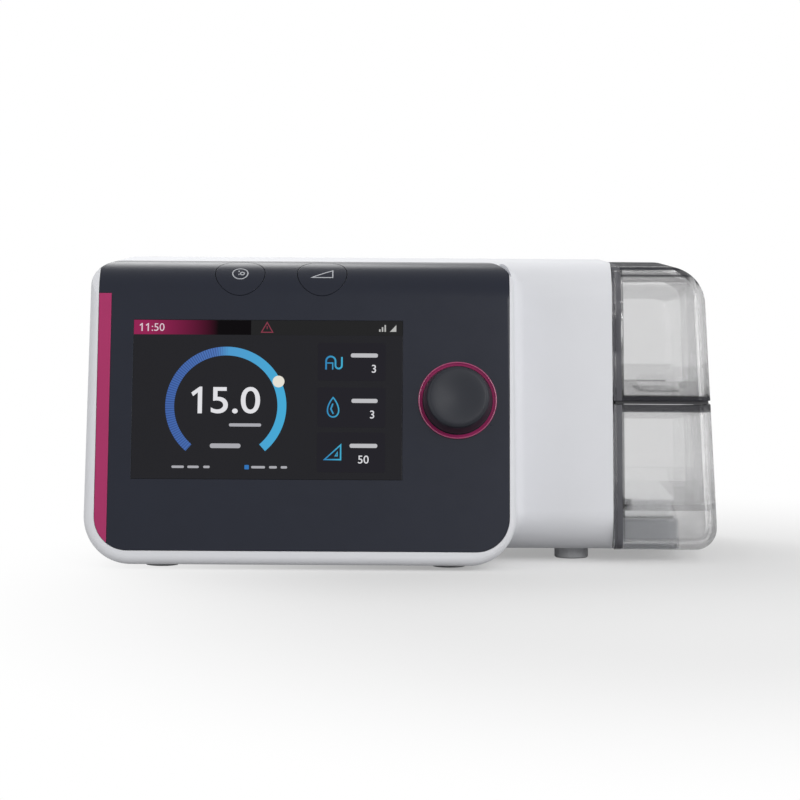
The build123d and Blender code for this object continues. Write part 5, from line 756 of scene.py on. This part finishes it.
# --- places on the machine
@dataclass
class FrontFace:
    """The leaning front and the curve over its top edge, read from the frame."""

    top_round: float = 19 * MM
    button_tilt: float = 50.0

    def __post_init__(self) -> None:
        """Read the plane from the knob's axis and the top from the casing."""
        self.knob = Vector(JOINTS["knob_spin"]["pos_m"])
        self.normal = Vector(JOINTS["knob_spin"]["axis"]).normalized()
        self.up = Vector((0.0, self.normal.z, -self.normal.y))
        self.lean = degrees(np.arcsin(self.normal.z))
        self.arc_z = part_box("casing_shell")[1].z - self.top_round
        lean = radians(self.lean)
        self.arc_y = self.knob.y + (self.arc_z - self.knob.z) * tan(lean) + self.top_round / cos(lean)

    def flat(self, origin: Vector) -> Place:
        """Place on the leaning plane: origin + u X + v up + w out of the plane."""
        basis = np.array([(1.0, 0.0, 0.0), tuple(self.up), tuple(self.normal)])
        return lambda points: np.asarray(origin) + points @ basis

    def curved(self, x: float) -> Place:
        """Place on the top curve about a button's axis.

        Args:
            x: X of the button's middle.

        Returns:
            The place, which turns v round the curve's centre.
        """
        def put(points: np.ndarray) -> np.ndarray:
            """(x + u, y - r cos a, z + r sin a), a = tilt + v / round and r = round + w."""
            angle = radians(self.button_tilt) + points[:, 1] / self.top_round
            radius = self.top_round + points[:, 2]
            y, z = self.arc_y - radius * np.cos(angle), self.arc_z + radius * np.sin(angle)
            return np.column_stack([x + points[:, 0], y, z])
        return put


# --- casing
@dataclass
class SideCove:
    """Hollow fillet where the pod's side wall runs into the humidifier's front, from the start of the
    toe's turn to the end of the top's, in degrees."""

    face: FrontFace
    palette: Palette
    radius: float = 5.0 * MM
    set_back: float = 28.0 * MM
    toe_round: float = 13.0 * MM
    underside: float = 4.8 * MM
    pod_underside: float = 2.0 * MM
    pod_rim: float = 2.8 * MM
    draft: float = 1.0 * MM
    high_corner: float = 10.0 * MM
    low_corner: float = 19.0 * MM
    top_gap: float = 1.5 * MM
    toe_gap: float = 3.0 * MM
    fade: float = 14 * MM
    least: float = 0.02 * MM
    run_out: float = 0.15
    sunk: float = 0.15 * MM
    dip: float = 0.08 * MM
    turns: Spot = (265, 98)
    steps: int = 24
    line_steps: int = 20

    def profile(self) -> tuple[np.ndarray, np.ndarray]:
        """Side view of the humidifier's front: toe arc, leaning line and top arc.

        Returns:
            Points (y, z), and the outward normals there.
        """
        lean, top = radians(self.face.lean), (self.face.arc_y + self.set_back, self.face.arc_z)
        toe_z = self.underside + self.toe_round
        toe_y = top[0] + (self.toe_round - self.face.top_round) / cos(lean) + (toe_z - top[1]) * tan(lean)
        middle = 180 - self.face.lean
        toe_turns, top_turns = (self.turns[0], middle, self.steps), (middle, self.turns[1], self.steps)
        low = arc((toe_y, toe_z), self.toe_round, *toe_turns)
        high = arc(top, self.face.top_round, *top_turns)
        line = np.linspace(low[-1], high[0], self.line_steps)[1:-1]
        normal = [arc((0, 0), 1, *toe_turns), arc((0, 0), 1, *top_turns)]
        normal.insert(1, np.repeat(normal[1][:1], len(line), 0))
        return np.vstack([low, line, high]), np.vstack(normal)

    def wall(self, z: np.ndarray, top: float) -> np.ndarray:
        """X of the pod's right side: a drafted line with round corners, where a corner of radius R sets
        it in by R - sqrt(R^2 - d^2) at a depth d into the corner.

        Args:
            z: Heights.
            top: Height of the pod.

        Returns:
            X at each height.
        """
        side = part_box("front_panel")[1].x + self.pod_rim
        line = side - self.draft * (z - self.pod_underside) / (top - self.pod_underside)
        high = np.clip(z - (top - self.high_corner), 0, self.high_corner)
        low = np.clip(self.pod_underside + self.low_corner - z, 0, self.low_corner)
        for corner, depth in ((self.high_corner, high), (self.low_corner, low)):
            line = line - corner + np.sqrt(corner ** 2 - depth ** 2)
        return line

    def build(self) -> None:
        """Sweep the cove: at each point of the front's side view the section is a quarter circle of
        radius r about (x + r, point + r normal), which dips into the body at both edges and is closed
        by a corner sunk in it. The radius fades to nothing at both ends."""
        points, normal = self.profile()
        top = self.face.arc_z + self.face.top_round
        z = points[:, 1]
        wall = self.wall(z, top)
        above = z - self.underside - self.toe_gap
        ends = np.clip(np.minimum(above, top - self.top_gap - z) / self.fade, 0, 1)
        radius = self.radius * np.sqrt(ends * (2 - ends)) + self.least
        run = self.run_out * radius
        rows = [(wall - self.dip, radius + run)]
        rows += [(wall + radius * (1 - cos(t)), radius * (1 - sin(t))) for t in np.linspace(0, pi / 2, 14)]
        rows += [(wall + radius + run, 0 * z - self.dip), (wall - self.sunk, 0 * z - self.sunk)]
        grid = [np.column_stack([x, points + normal * out[:, None]]) for x, out in rows]
        piece = Form().tube(np.stack(grid, 1)).build("side_cove", smooth=True)
        # Its thin far edge lies flush on the body, so it has no softened edges.
        flush = replace(FINISHES[Slot.WHITE], name="white_satin_flush", soft_edge=0.0)
        self.palette.settle(piece, "casing", Slot.WHITE, flush)


@dataclass
class Knob:
    """Dished rotary knob and the lit ring round it."""

    face: FrontFace
    palette: Palette
    base_radius: float = 13.9 * MM
    base_edge: float = 0.5 * MM
    face_radius: float = 12.7 * MM
    gap: float = 0.7 * MM
    height: float = 8.6 * MM
    edge: float = 1.9 * MM
    dish: float = 0.9 * MM
    dish_radius: float = 10.6 * MM
    ring_outer: float = 15.9 * MM
    ring_inner: float = 14.2 * MM
    ring_lip: float = 0.95 * MM
    ring_round: float = 0.35 * MM
    ring_foot: float = 0.3 * MM
    ring_curve: float = 0.6

    def cap_profile(self) -> np.ndarray:
        """Loop of radius and height: underside, tapered wall, round edge and a face that sinks by
        dish (1 - (r / dish radius)^2)^2 towards the middle."""
        shoulder = arc((self.face_radius - self.edge, self.height - self.edge), self.edge, 4, 90, 14)
        r = np.linspace(self.dish_radius, 0, 26)
        face = np.column_stack([r, self.height - self.dish * (1 - (r / self.dish_radius) ** 2) ** 2])
        wall = np.array([
            (0.0, self.gap), (self.base_radius - self.base_edge, self.gap),
            (self.base_radius, self.gap + self.base_edge),
        ])
        return np.vstack([wall, shoulder, face])

    def ring_profile(self) -> np.ndarray:
        """Loop of radius and height: outer wall, round lip and a hollow slope down to the knob, whose
        drop grows with the share of the way to the power of the curve."""
        corner = (self.ring_outer - self.ring_round, self.ring_lip - self.ring_round)
        lip = arc(corner, self.ring_round, 0, 130, 12)
        share = np.linspace(0, 1, 10)[1:]
        r = lip[-1, 0] + (self.ring_inner - lip[-1, 0]) * share
        h = lip[-1, 1] + (self.ring_foot - lip[-1, 1]) * share ** self.ring_curve
        foot = np.array([(self.ring_inner, 0.0), (self.ring_outer, 0.0)])
        return np.vstack([foot, lip, np.column_stack([r, h])])

    def build(self) -> None:
        """Turn both profiles about the knob's axis."""
        place = self.face.flat(self.face.knob)
        piece = Form().tube(turned(self.cap_profile(), place), True).build("knob_dished_cap", smooth=True)
        grip = Moulded("knob_soft_touch", tone(38, 40, 47), 0.42, mottle=0.04, relief=0.08, specular=0.24)
        self.palette.settle(piece, "knob", Slot.DARK, grip)
        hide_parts("knob_cap")
        piece = Form().tube(turned(self.ring_profile(), place), True).build("knob_hollow_ring", smooth=True)
        gloss = Moulded(
            "ring_gloss", tone(158, 46, 98), 0.24, mottle=0.02, relief=0.0, specular=0.6, coat=0.5
        )
        self.palette.settle(piece, "casing", Slot.MAGENTA, gloss)
        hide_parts("knob_ring")


@dataclass
class ButtonMarks:
    """Line marks on the two buttons, wrapped round the top curve."""

    face: FrontFace
    palette: Palette
    line: float = 0.5 * MM
    proud: float = 0.04 * MM
    circle: float = 3.1 * MM
    upright: tuple[float, float, float] = (-0.55 * MM, -1.0 * MM, 1.75 * MM)
    dot: Spot = (0.85 * MM, -0.05 * MM)
    dot_radius: float = 0.8 * MM
    wedge_width: float = 8.6 * MM
    wedge_height: float = 4.2 * MM

    def mark(self, name: str, button: str, strokes: Sequence[tuple[np.ndarray, bool]]) -> None:
        """Mark of lines on a button.

        Args:
            name: Name of the piece.
            button: Name of the button's node and body.
            strokes: Paths about the button's middle, and whether each returns to its start.
        """
        low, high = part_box(button)
        place = self.face.curved((low.x + high.x) / 2)
        form = Form()
        for path, closed in strokes:
            form.stroke(path, self.line, -self.proud, self.proud, place, closed)
        finish = Moulded("button_mark", tone(176, 178, 184), 0.5, relief=0.0)
        self.palette.settle(form.build(name), button, Slot.DARK, finish)

    def build(self) -> None:
        """Make a ring with an upright mark, and a rising wedge."""
        x, low, high = self.upright
        upright = np.array([(x, low), (x, high)])
        ring, dot = circle((0, 0), self.circle, 48), circle(self.dot, self.dot_radius, 24)
        self.mark("power_mark", "power_button", [(ring, True), (upright, False), (dot, True)])
        half, rise = self.wedge_width / 2, self.wedge_height / 2
        corners = np.array([(-half, -rise), (half, -rise), (half, rise)])
        sides = [np.linspace(corners[i], corners[(i + 1) % 3], 12, endpoint=False) for i in range(3)]
        self.mark("ramp_mark", "ramp_button", [(np.vstack(sides), True)])


@dataclass
class HeaterSprings:
    """Two coil springs under the heater plate, at one fixed length."""

    palette: Palette
    radius: float = 3.2 * MM
    wire: float = 0.7 * MM
    coils: float = 4.0
    travel: float = 1.5 * MM

    def coil(self, x: float, y: float, low: float, high: float) -> np.ndarray:
        """Helix of round wire: the middle line is (x + R cos t, y + R sin t, z rising with t), and each
        section is a circle across its direction, from the inward normal and the binormal.

        Args:
            x: X of the spring's axis.
            y: Y of the spring's axis.
            low: Lowest point.
            high: Highest point.

        Returns:
            Grid of points by section, place round the section and axis.
        """
        t = np.linspace(0, 2 * pi * self.coils, 129)
        rise = high - low - self.wire
        z = low + self.wire / 2 + rise * t / t[-1]
        across_x, across_y = self.radius * np.cos(t), self.radius * np.sin(t)
        path = np.column_stack([x + across_x, y + across_y, z])
        inward = np.column_stack([-np.cos(t), -np.sin(t), 0 * t])
        along = unit(np.column_stack([-across_y, across_x, np.full(len(t), rise / t[-1])]))
        turn = np.linspace(0, 2 * pi, 12, endpoint=False)[None, :, None]
        ring = np.cos(turn) * inward[:, None] + np.sin(turn) * np.cross(along, inward)[:, None]
        return path[:, None] + ring * (self.wire / 2)

    def build(self) -> None:
        """Wind both springs, one at each end of their node's box along Y."""
        low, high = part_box("heater_springs")
        reach = self.radius + self.wire / 2
        form = Form()
        for x, y in ((low.x + reach, low.y + reach), (high.x - reach, high.y - reach)):
            form.tube(self.coil(x, y, low.z, high.z))
        piece = form.build("heater_coil_springs", smooth=True)
        self.palette.settle(piece, "casing", Slot.STEEL)
        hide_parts("heater_springs")
        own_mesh(piece)


# --- display
@dataclass
class Screen:
    """Lit graphics of the display: plain numerals, a gauge, tiles and line icons.

    Places are from the middle of the picture, in millimetres: u to the right and v up the front. The
    grounds are on layer 1 and what stands on them on layer 2.
    """

    face: FrontFace
    palette: Palette
    layer: float = 0.03 * MM
    width: float = 109.2
    bar: Spot = (26.7, 32.7)
    bar_split: float = -7
    gauge: Spot = (-16.8, -2.8)
    gauge_radii: Spot = (24.5, 20.9)
    gauge_turns: Spot = (-48.9, 229.3)
    tiles: tuple[Spot, ...] = ((23.6, 7.9), (5.1, -11.3), (-13.4, -29.8))
    tile_sides: Spot = (20.2, 47.8)
    icon_u: float = 26.6
    icon_v: tuple[float, float, float] = (15.1, -3.2, -21.7)

    def __post_init__(self) -> None:
        """Find the middle of the picture."""
        low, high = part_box("display_window")
        self.centre = Vector(((low.x + high.x) / 2, self.face.knob.y, self.face.knob.z))
        self.place = self.face.flat(self.centre)

    def put(self, piece: bpy.types.Object, finish: Finish) -> None:
        """Dress a piece of the picture and let it ride on the casing."""
        self.palette.settle(piece, "casing", Slot.MODULE, finish)

    def draw(
        self, name: str, finish: Finish, patches: Sequence[Sequence[Spot]] = (),
        lines: Sequence[tuple[Sequence[Spot], float, bool]] = (), layer: int = 2,
    ) -> None:
        """Flat patches and lines on a layer, as one piece.

        Args:
            name: Name of the piece.
            finish: Its finish.
            patches: Outline of each patch.
            lines: Path of each line, its width, and whether it returns to its start.
            layer: The layer.
        """
        low, high = layer * self.layer, (layer + 1) * self.layer
        form = Form()
        for outline in patches:
            form.slab(np.asarray(outline) * MM, low, high, self.place)
        for path, width, closed in lines:
            form.stroke(np.asarray(path, float) * MM, width * MM, low, high, self.place, closed)
        self.put(form.build(name), finish)

    def words(
        self, name: str, text: str, at: Spot, height: float, finish: Finish,
        bold: float = 0.0, stretch: float = 1.0,
    ) -> None:
        """Numerals centred on a place.

        Args:
            name: Name of the piece.
            text: The numerals.
            at: Place of their middle.
            height: Height of a numeral.
            finish: Their finish.
            bold: How far the outlines grow.
            stretch: How much wider than its height they get.
        """
        curve = bpy.data.curves.new(name, "FONT")
        curve.body = text
        curve.extrude = 0.02
        curve.offset = bold
        curve.resolution_u = 6
        holder = add_object(name, curve)
        bpy.context.view_layer.update()
        mesh = bpy.data.meshes.new_from_object(holder)
        bpy.data.objects.remove(holder)
        co = np.empty(len(mesh.vertices) * 3)
        mesh.vertices.foreach_get("co", co)
        co = co.reshape(-1, 3)
        low, high = co.min(0), co.max(0)
        scale = height / (high[1] - low[1])
        flat = (co[:, :2] - (low[:2] + high[:2]) / 2) * scale * np.array((stretch, 1.0)) + np.array(at)
        level = (2 + (co[:, 2] > 0)) * self.layer
        mesh.vertices.foreach_set("co", self.place(np.column_stack([flat * MM, level])).ravel())
        clean(mesh)
        self.put(add_object(name, mesh), finish)

    def one(self, at: Spot, height: float, width: float) -> list[Spot]:
        """Numeral one: an upright bar with a slanting flag at its top left.

        Args:
            at: Foot of the upright's middle.
            height: Height of the numeral.
            width: Width of the upright.

        Returns:
            Points of the outline.
        """
        half, reach, drop = width / 2, height * 0.24, height * 0.17
        outline = [
            (-half, 0), (half, 0), (half, height), (-half * 0.2, height),
            (-half - reach, height - drop * 1.3), (-half - reach * 0.72, height - drop * 2.1),
            (-half, height - drop * 1.25),
        ]
        return [(at[0] + u, at[1] + v) for u, v in outline]

    def status_bar(self) -> None:
        """Bar along the top with a warning triangle, time and level marks."""
        half, (low, high), split = self.width / 2, self.bar, self.bar_split
        middle = (low + high) / 2
        fade_x = (self.centre.x - 48 * MM, self.centre.x - 20 * MM)
        fade = Graphic("bar_fade", tone(152, 38, 86), tone(9, 6, 9), *fade_x)
        self.draw("screen_bar_left", fade, [rectangle(-half, low, split, high)], layer=1)
        plain = Graphic("bar_grey", tone(37, 37, 38))
        self.draw("screen_bar_right", plain, [rectangle(split, low, half, high)], layer=1)
        triangle = [(-2.8, middle - 1.9), (1.8, middle - 1.9), (-0.5, middle + 2.2)]
        stem = [(-0.5, middle + 0.7), (-0.5, middle - 0.6)]
        red = Graphic("warning_red", tone(140, 60, 78))
        self.draw("screen_warning", red, lines=[(triangle, 0.4, True), (stem, 0.35, False)])
        foot, top = middle - 1.4, middle + 1.4
        steps = [(45.0 + 1.1 * step, foot + 1.0 + 0.9 * step) for step in range(3)]
        marks = [rectangle(left, foot, left + 0.6, rise) for left, rise in steps]
        wedge = [(49.4, foot), (52.0, foot), (52.0, top)]
        self.draw("screen_level_marks", Graphic("mark_grey", tone(188, 188, 186)), [*marks, wedge])
        white = Graphic("time_white", tone(226, 206, 216))
        ones = [self.one((u, middle - 1.65), 3.3, 0.5) for u in (-51.3, -48.8)]
        self.draw("screen_time_ones", white, ones)
        self.words("screen_time", ":50", (-44.8, middle), 3.2, white)

    def dial(self) -> None:
        """Gauge ring with its marker, the large numerals and the plain label bars."""
        (u, v), (outer, inner), (start, end) = self.gauge, self.gauge_radii, self.gauge_turns
        ring = np.vstack([arc((u, v), outer, start, end, 120), arc((u, v), inner, end, start, 120)])
        squash = self.face.up.z
        x, z = self.centre.x + u * MM, self.centre.z + v * MM * squash
        self.draw("screen_gauge", GaugeGraphic("gauge_graphic", x, z, squash), [ring], layer=1)
        marker = circle((u + 21.2, v + 10.2), 2.4, 48)
        self.draw("screen_gauge_marker", Graphic("marker_ivory", tone(236, 232, 220)), [marker])
        white = Graphic("numeral_white", tone(232, 232, 236))
        self.draw("screen_pressure_one", white, [self.one((-27.3, -5.9), 11.0, 1.75)])
        self.words("screen_pressure", "5.0", (-12.9, -0.4), 11.0, white, 0.006, 1.12)
        bars = [((-8.9, -10.6), 13.0, 1.3), ((-16.8, -19.2), 12.4, 1.9)]
        foot_bars = ((-35.8, 5.0), (-29.6, 4.6), (-24.2, 2.6), (-3.4, 5.6), (2.6, 3.2), (7.0, 2.6))
        bars += [((middle, -27.9), width, 1.0) for middle, width in foot_bars]
        outlines = [box_outline(at, width, height, height * 0.45) for at, width, height in bars]
        self.draw("screen_label_bars", Graphic("label_grey", tone(176, 176, 182)), outlines)
        key = box_outline((-8.0, -27.9), 1.8, 1.8, 0.3)
        self.draw("screen_label_key", Graphic("key_blue", tone(54, 120, 190)), [key])

    def icons(self) -> None:
        """Line icons: a wave with a foot bar, a drop whose half width is 2.9 sin t sin(t / 2)^0.9 at a
        height of 4 cos t, with a hook in it, and a wedge with a smaller one in it."""
        u, (v, drop_v, wedge_v) = self.icon_u, self.icon_v
        wave = np.vstack([
            [(u - 3.0, v - 2.6), (u - 3.0, v + 0.6)], arc((u - 1.1, v + 0.9), 1.9, 180, 0, 14),
            [(u + 0.8, v - 0.6)], arc((u + 2.1, v - 0.9), 1.3, 180, 360, 12), [(u + 3.4, v + 2.6)],
        ])
        foot = [(u - 3.0, v + 0.1), (u - 0.3, v + 0.1), (u - 0.3, v - 2.6)]
        v = drop_v
        t = np.linspace(0, 2 * pi, 41)[:-1]
        drop = np.column_stack([u + 2.9 * np.sin(t) * np.sin(t / 2) ** 0.9, v + 4.0 * np.cos(t) + 0.1])
        hook = [(u - 0.1, v + 1.6), (u - 0.9, v - 0.6), (u + 0.1, v - 2.6)]
        v = wedge_v
        wedge = [(u - 3.3, v - 2.9), (u + 3.2, v - 2.9), (u + 3.2, v + 3.1)]
        small = [(u + 1.0, v - 1.4), (u + 1.9, v - 1.4), (u + 1.9, v + 0.2)]
        ends_x = (self.centre.x + 23 * MM, self.centre.x + 30 * MM)
        blue = Graphic("icon_blue", tone(52, 134, 190), tone(70, 178, 214), *ends_x)
        self.draw("screen_icons", blue, lines=[
            (wave, 0.7, False), (foot, 0.5, False), (drop, 0.55, True), (hook, 0.6, False),
            (wedge, 0.6, True), (small, 0.4, True),
        ])

    def side_tiles(self) -> None:
        """Three tiles, each with a line icon, a label bar and a number."""
        left, right = self.tile_sides
        middle = (left + right) / 2
        grounds = [
            box_outline((middle, (high + low) / 2), right - left, high - low, 1.0) for high, low in self.tiles
        ]
        self.draw("screen_tiles", Graphic("tile_dark", tone(36, 35, 41)), grounds, layer=1)
        self.icons()
        bars = [
            box_outline((44.6 - width / 2, v), width, 1.7, 0.75)
            for v, width in ((18.4, 11.0), (-0.4, 10.6), (-18.9, 11.2))
        ]
        self.draw("screen_tile_bars", Graphic("tile_label", tone(196, 196, 200)), bars)
        white = Graphic("value_white", tone(226, 226, 230))
        for name, text, at in (
            ("screen_value_top", "3", (43.0, 12.9)), ("screen_value_middle", "3", (42.4, -6.0)),
            ("screen_value_low", "50", (39.0, -24.5)),
        ):
            self.words(name, text, at, 3.3, white, 0.006)

    def build(self) -> None:
        """Make all the graphics."""
        self.status_bar()
        self.dial()
        self.side_tiles()


# --- studio
@dataclass(frozen=True)
class Lamp:
    """Oblong soft light: its place and size in metres, and its power in watts."""

    name: str
    place: tuple[float, float, float]
    size: Spot
    power: float

    def build(self, aim: Vector) -> None:
        """Put up the light, facing a point."""
        data = bpy.data.lights.new(self.name, "AREA")
        data.shape = "RECTANGLE"
        data.size, data.size_y = self.size
        data.energy = self.power
        turn = (aim - Vector(self.place)).to_track_quat("-Z", "Y").to_matrix().to_4x4()
        add_object(self.name, data).matrix_world = Matrix.Translation(self.place) @ turn


@dataclass
class Studio:
    """Floor, plain soft light and camera."""

    world_light: float = 0.51
    lamps: tuple[Lamp, ...] = (
        Lamp("key", (-0.48, 0.90, 0.98), (1.1, 0.75), 8.7),
        Lamp("fill", (0.52, -1.25, 0.74), (0.42, 0.6), 5.9),
        Lamp("left", (-1.05, -0.75, 0.40), (0.7, 0.7), 2.2),
        Lamp("side", (1.25, -0.45, 0.65), (0.8, 0.8), 4.5),
    )
    lamp_aim: tuple[float, float, float] = (0.0, 0.0, 0.06)
    floor_size: float = 12.0
    floor_corner: float = 1.0
    floor_depth: float = 0.01
    floor_tone: float = 0.48
    floor_cloud: float = 0.01
    floor_lift: float = 0.34
    fade_centre: Spot = (0.105, -0.16)
    fade_reach: Spot = (0.24, 0.36)
    fade_start: float = 0.40
    fade_width: float = 0.80
    eye: tuple[float, float, float] = (-5.4, -1371.94, 152.1)
    focal_pixels: float = 3218.0
    picture: float = 800.0
    tilt: float = 3.716
    yaw: float = 0.150
    roll: float = 0.35
    sensor: float = 36.0

    def seen(self, bench: Bench) -> Wire:
        """1 for rays from the camera, a reflection or glass, otherwise 0."""
        rays = [bench.node("ShaderNodeLightPath", out=f"Is {kind} Ray")
                for kind in ("Camera", "Glossy", "Transmission")]
        return rays[0].larger(rays[1]).larger(rays[2])

    def floor(self) -> None:
        """Pale floor that keeps the machine's shadow, and runs out into the white surround: the share of
        white is the distance from the middle of the shadow, over an ellipse, less the start of the fade,
        over its width."""
        form = Form()
        outline = box_outline((0, 0), self.floor_size, self.floor_size, self.floor_corner, 12)
        form.slab(outline, -self.floor_depth, 0.0, lambda points: points)
        piece = form.build("studio_floor")
        bench = Bench.of("studio_floor")
        shades = [(0.3, grey(self.floor_tone)), (0.7, grey(self.floor_tone + self.floor_cloud))]
        colour = bench.ramp(bench.noise(0.4, 2), shades)
        diffuse = bench.node("ShaderNodeBsdfDiffuse", inputs={"Color": colour})
        seen = self.seen(bench)
        lift = {"Color": grey(1.0), "Strength": seen * self.floor_lift}
        near = bench.node(
            "ShaderNodeAddShader", inputs={0: diffuse, 1: bench.node("ShaderNodeEmission", inputs=lift)}
        )
        across = (bench.axis("X") - self.fade_centre[0]) / self.fade_reach[0]
        along = (bench.axis("Y") - self.fade_centre[1]) / self.fade_reach[1]
        reach = (across * across + along * along).math("SQRT")
        fade = ((reach - self.fade_start) / self.fade_width).clamp()
        smooth = fade * fade * (3 - 2 * fade)
        far = bench.node("ShaderNodeEmission", inputs={"Color": grey(1.0), "Strength": 1.0})
        piece.data.materials.append(bench.finish(bench.blend(smooth * seen, near, far)))

    def world(self) -> None:
        """Even white surround, brighter to the eye than as a light."""
        world = bpy.data.worlds.new("studio_world")
        bpy.context.scene.world = world
        bench = Bench(world)
        strength = self.world_light + self.seen(bench) * (1 - self.world_light)
        values = {"Color": grey(1.0), "Strength": strength}
        bench.node("ShaderNodeOutputWorld", inputs={
            "Surface": bench.node("ShaderNodeBackground", inputs=values),
        })

    def camera(self) -> None:
        """Camera as a frame of right, up and back directions, turned by yaw, tilt and roll."""
        tilt, yaw, roll = (radians(a) for a in (self.tilt, self.yaw, self.roll))
        ahead = Vector((sin(yaw) * cos(tilt), cos(yaw) * cos(tilt), -sin(tilt)))
        right = Vector((cos(yaw), -sin(yaw), 0.0))
        up = right.cross(ahead)
        across = right * cos(roll) + up * sin(roll)
        above = up * cos(roll) - right * sin(roll)
        data = bpy.data.cameras.new("camera")
        data.sensor_width = self.sensor
        data.lens = self.focal_pixels / self.picture * self.sensor
        data.clip_start = 0.01
        data.clip_end = 50.0
        camera = add_object("camera", data)
        rows = Matrix((across, above, -ahead)).transposed().to_4x4()
        camera.matrix_world = Matrix.Translation(Vector(self.eye) * MM) @ rows
        bpy.context.scene.camera = camera

    def build(self) -> None:
        """Set up the studio."""
        self.floor()
        self.world()
        for lamp in self.lamps:
            lamp.build(Vector(self.lamp_aim))
        self.camera()
        bpy.context.scene.view_settings.view_transform = "Standard"


def main() -> None:
    """Dress the frame, build the pieces and set up the studio."""
    logging.basicConfig(level=logging.INFO, format="%(name)s: %(message)s")
    Studio().build()
    palette = Palette()
    palette.dress_frame()
    face = FrontFace()
    SideCove(face, palette).build()
    Knob(face, palette).build()
    ButtonMarks(face, palette).build()
    HeaterSprings(palette).build()
    Screen(face, palette).build()


if __name__ == "__main__":
    main()
